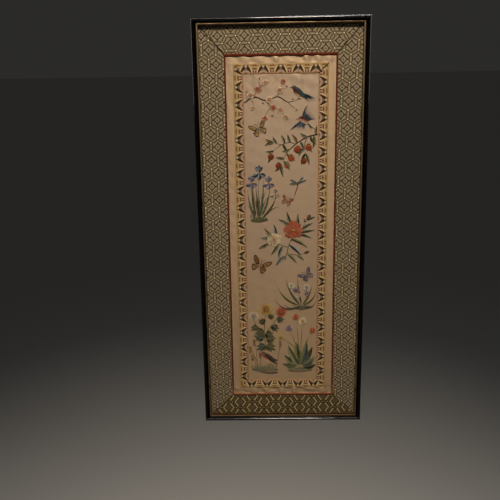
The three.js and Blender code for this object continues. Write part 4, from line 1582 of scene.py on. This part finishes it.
def sew_foot():
    """The foot of the panel: green tufts, asters over large leaves, and reeds."""
    sew_mound("tufts", 116, (
        (("olive", "moss", "sage"),
         (-66, -294), (-54, -288), (-36, -287), (-16, -290), (-8, -296), (-30, -299), (-54, -299)),
        (("umber", "brown", "gold"), (-48, -301), (-30, -298), (-8, -300), (-22, -305)),
    ), (-64, -12, -290, -290))
    sew_mound("aster_tuft", 118, (
        (("umber", "moss", "sage"), (8, -297), (24, -291), (48, -290), (64, -296), (44, -301), (22, -301)),
    ), (10, 64, -293, -294))
    tips = ((4, -262), (68, -266), (12, -240), (62, -244), (30, -232), (50, -230), (0, -282), (70, -284),
            (22, -262), (54, -264), (38, -254))
    sew_plant(
        "aster", 117,
        stems=[(("moss", "olive"), 3, (36, -286), (37 + (x - 37) * 0.3, -246), (x, z)) for x, z in (
            (14, -202), (42, -188), (62, -208), (28, -178), (-2, -222))],
        leaves=[(36 + 0.2 * (x - 36), -288 + 0.14 * (z + 288), x, z, 13.0, 2.0 if x < 36 else -2.0)
                for x, z in tips],
        greens=(("olive", "moss", "sage"), ("teal", "moss", "sage"), ("moss", "olive", "sage"),
                ("charcoal", "olive", "moss")),
        blooms=(
            (14, -201, 8.6, 11, 2, ("lilac", "mauve", "wine")),
            (42, -187, 9.6, 12, 2, ("cream", "straw", "gold")),
            (62, -207, 7.8, 10, 2, ("coral", "flame", "rust")),
            (28, -177, 7.4, 10, 2, ("coral", "flame", "wine")),
            (-2, -221, 6.8, 10, 2, ("straw", "gold", "rust"))))
    reeds = Needlework("reeds", 119)
    for n, (x, z) in enumerate(((-66, -244), (-58, -228), (-62, -262), (-4, -232), (-46, -256))):
        root = -54 + 2 * n if x < -20 else -12
        line = ((root, -291), ((root + x) / 2 + 1, (z - 291) / 2 + 6), (x, z))
        reeds.stem(line, ("charcoal", "umber"), 2, taper=0.5)
        for k in range(9):
            side = 1 if k % 2 else -1
            tip = (x + 2.6 * side, z + 3.4 - 1.6 * k)
            reeds.leaf((x + 0.1 * k, z - 1.6 * k), tip, 1.5, 0.2, ("brown", "gold"), 1)
    reeds.sew(THREAD)


def sew_picture():
    """All the motifs, from the top down."""
    sew_plum()
    sew_songbird("songbird", 103, (35, 275), 25, -6, 1, ("slate", "navy", "teal"), ("cream", "rust"))
    sew_swallow()
    sew_bough()
    sew_iris()
    sew_dragonfly()
    sew_peonies()
    sew_butterflies()
    sew_orchid()
    sew_chrysanthemums()
    sew_foot()
    coat = ("umber", "brown", "charcoal")
    sew_songbird("partridge", 105, (-26, -268), 27, 4, 1, coat, ("cream", "coral"), 0.4, 1.25)


# The pieces. The picture is sewn before the satin
THREAD = thread_material()
make_rails(lacquer_material(), gilt_material())
make_brocade({
    "plain_tones": brocade_material("brocade_plain_tones", BROCADE_TONES, BAND_PLAIN),
    "painted_sheen": brocade_material("brocade_painted_sheen", BROCADE_PAINTED_SHEEN, BAND_PAINTED_SHEEN),
})
make_piping(piping_material())
make_ribbon(ribbon_material())
sew_picture()
make_satin(satin_material())
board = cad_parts["backing_board"]
board.data.materials.clear()
board.data.materials.append(board_material())

# Camera: the photograph's, 1.4 m in front, level with the top of the picture
CAMERA_AT = Vector((-0.0316, -1.427, -0.0048))
VIEW = Vector((-0.0214, 0.9558, -0.2933))
UP = Vector((0.0116, 0.2936, 0.9559))
LENS, SENSOR = 53.57, 36.0

camera = bpy.data.objects.new("camera", bpy.data.cameras.new("camera"))
camera.data.lens = LENS
camera.data.sensor_width = SENSOR
right = VIEW.cross(UP).normalized()
turn = Matrix((right, right.cross(VIEW).normalized(), -VIEW)).transposed()
camera.matrix_world = Matrix.Translation(CAMERA_AT) @ turn.to_4x4()
bpy.context.scene.collection.objects.link(camera)
bpy.context.scene.camera = camera


def area_light(name, place, target, size, watts, colour, spread):
    """A rectangular lamp that faces its target. Its light stays within spread, in degrees."""
    lamp = bpy.data.lights.new(name, "AREA")
    lamp.shape = "RECTANGLE"
    lamp.size, lamp.size_y = size
    lamp.spread = math.radians(spread)
    lamp.energy = watts
    lamp.color = colour
    light = bpy.data.objects.new(name, lamp)
    light.location = place
    aim = Vector(target) - Vector(place)
    light.rotation_euler = aim.to_track_quat("-Z", "Y").to_euler()
    bpy.context.scene.collection.objects.link(light)


area_light("ceiling_light", (0.12, -1.1, 1.88), (0, 0, -0.45), (0.4, 0.34), 4.9, (1.0, 0.87, 0.71), 50.0)
area_light("window_light", (-0.02, -1.3, 2.1), (0, 0, -0.4), (1.5, 0.09), 1.7, (0.92, 0.96, 1.0), 60.0)
area_light("back_light", (0.5, 1.6, 0.4), (0, 0, -0.45), (0.9, 0.9), 4.0, (1.0, 0.97, 0.93), 60.0)
for n, x in enumerate((-1.8, 1.8)):
    place, target = (x, 0.25, 0.3), (0, 0.05, -0.4)
    area_light(f"side_light_{n + 1}", place, target, (0.5, 1.4), 4.0, (1.0, 0.97, 0.93), 70.0)

# Pale floor, well below the picture
FLOOR_Z = -2.1
floor = bpy.data.objects.new("floor", bpy.data.meshes.new("floor"))
floor.data.from_pydata(
    [(-12, -12, FLOOR_Z), (12, -12, FLOOR_Z), (12, 30, FLOOR_Z), (-12, 30, FLOOR_Z)], [], [(0, 1, 2, 3)])
pale = Tree("pale_floor", Roughness=0.9, Base_Color=(0.75, 0.74, 0.72, 1.0))
floor.data.materials.append(pale.material)
bpy.context.scene.collection.objects.link(floor)

world = bpy.data.worlds.new("soft_room")
world.use_nodes = True
world.node_tree.nodes["Background"].inputs[0].default_value = (0.8, 0.78, 0.75, 1.0)
world.node_tree.nodes["Background"].inputs[1].default_value = 0.03
bpy.context.scene.world = world
bpy.context.scene.view_settings.view_transform = "Standard"
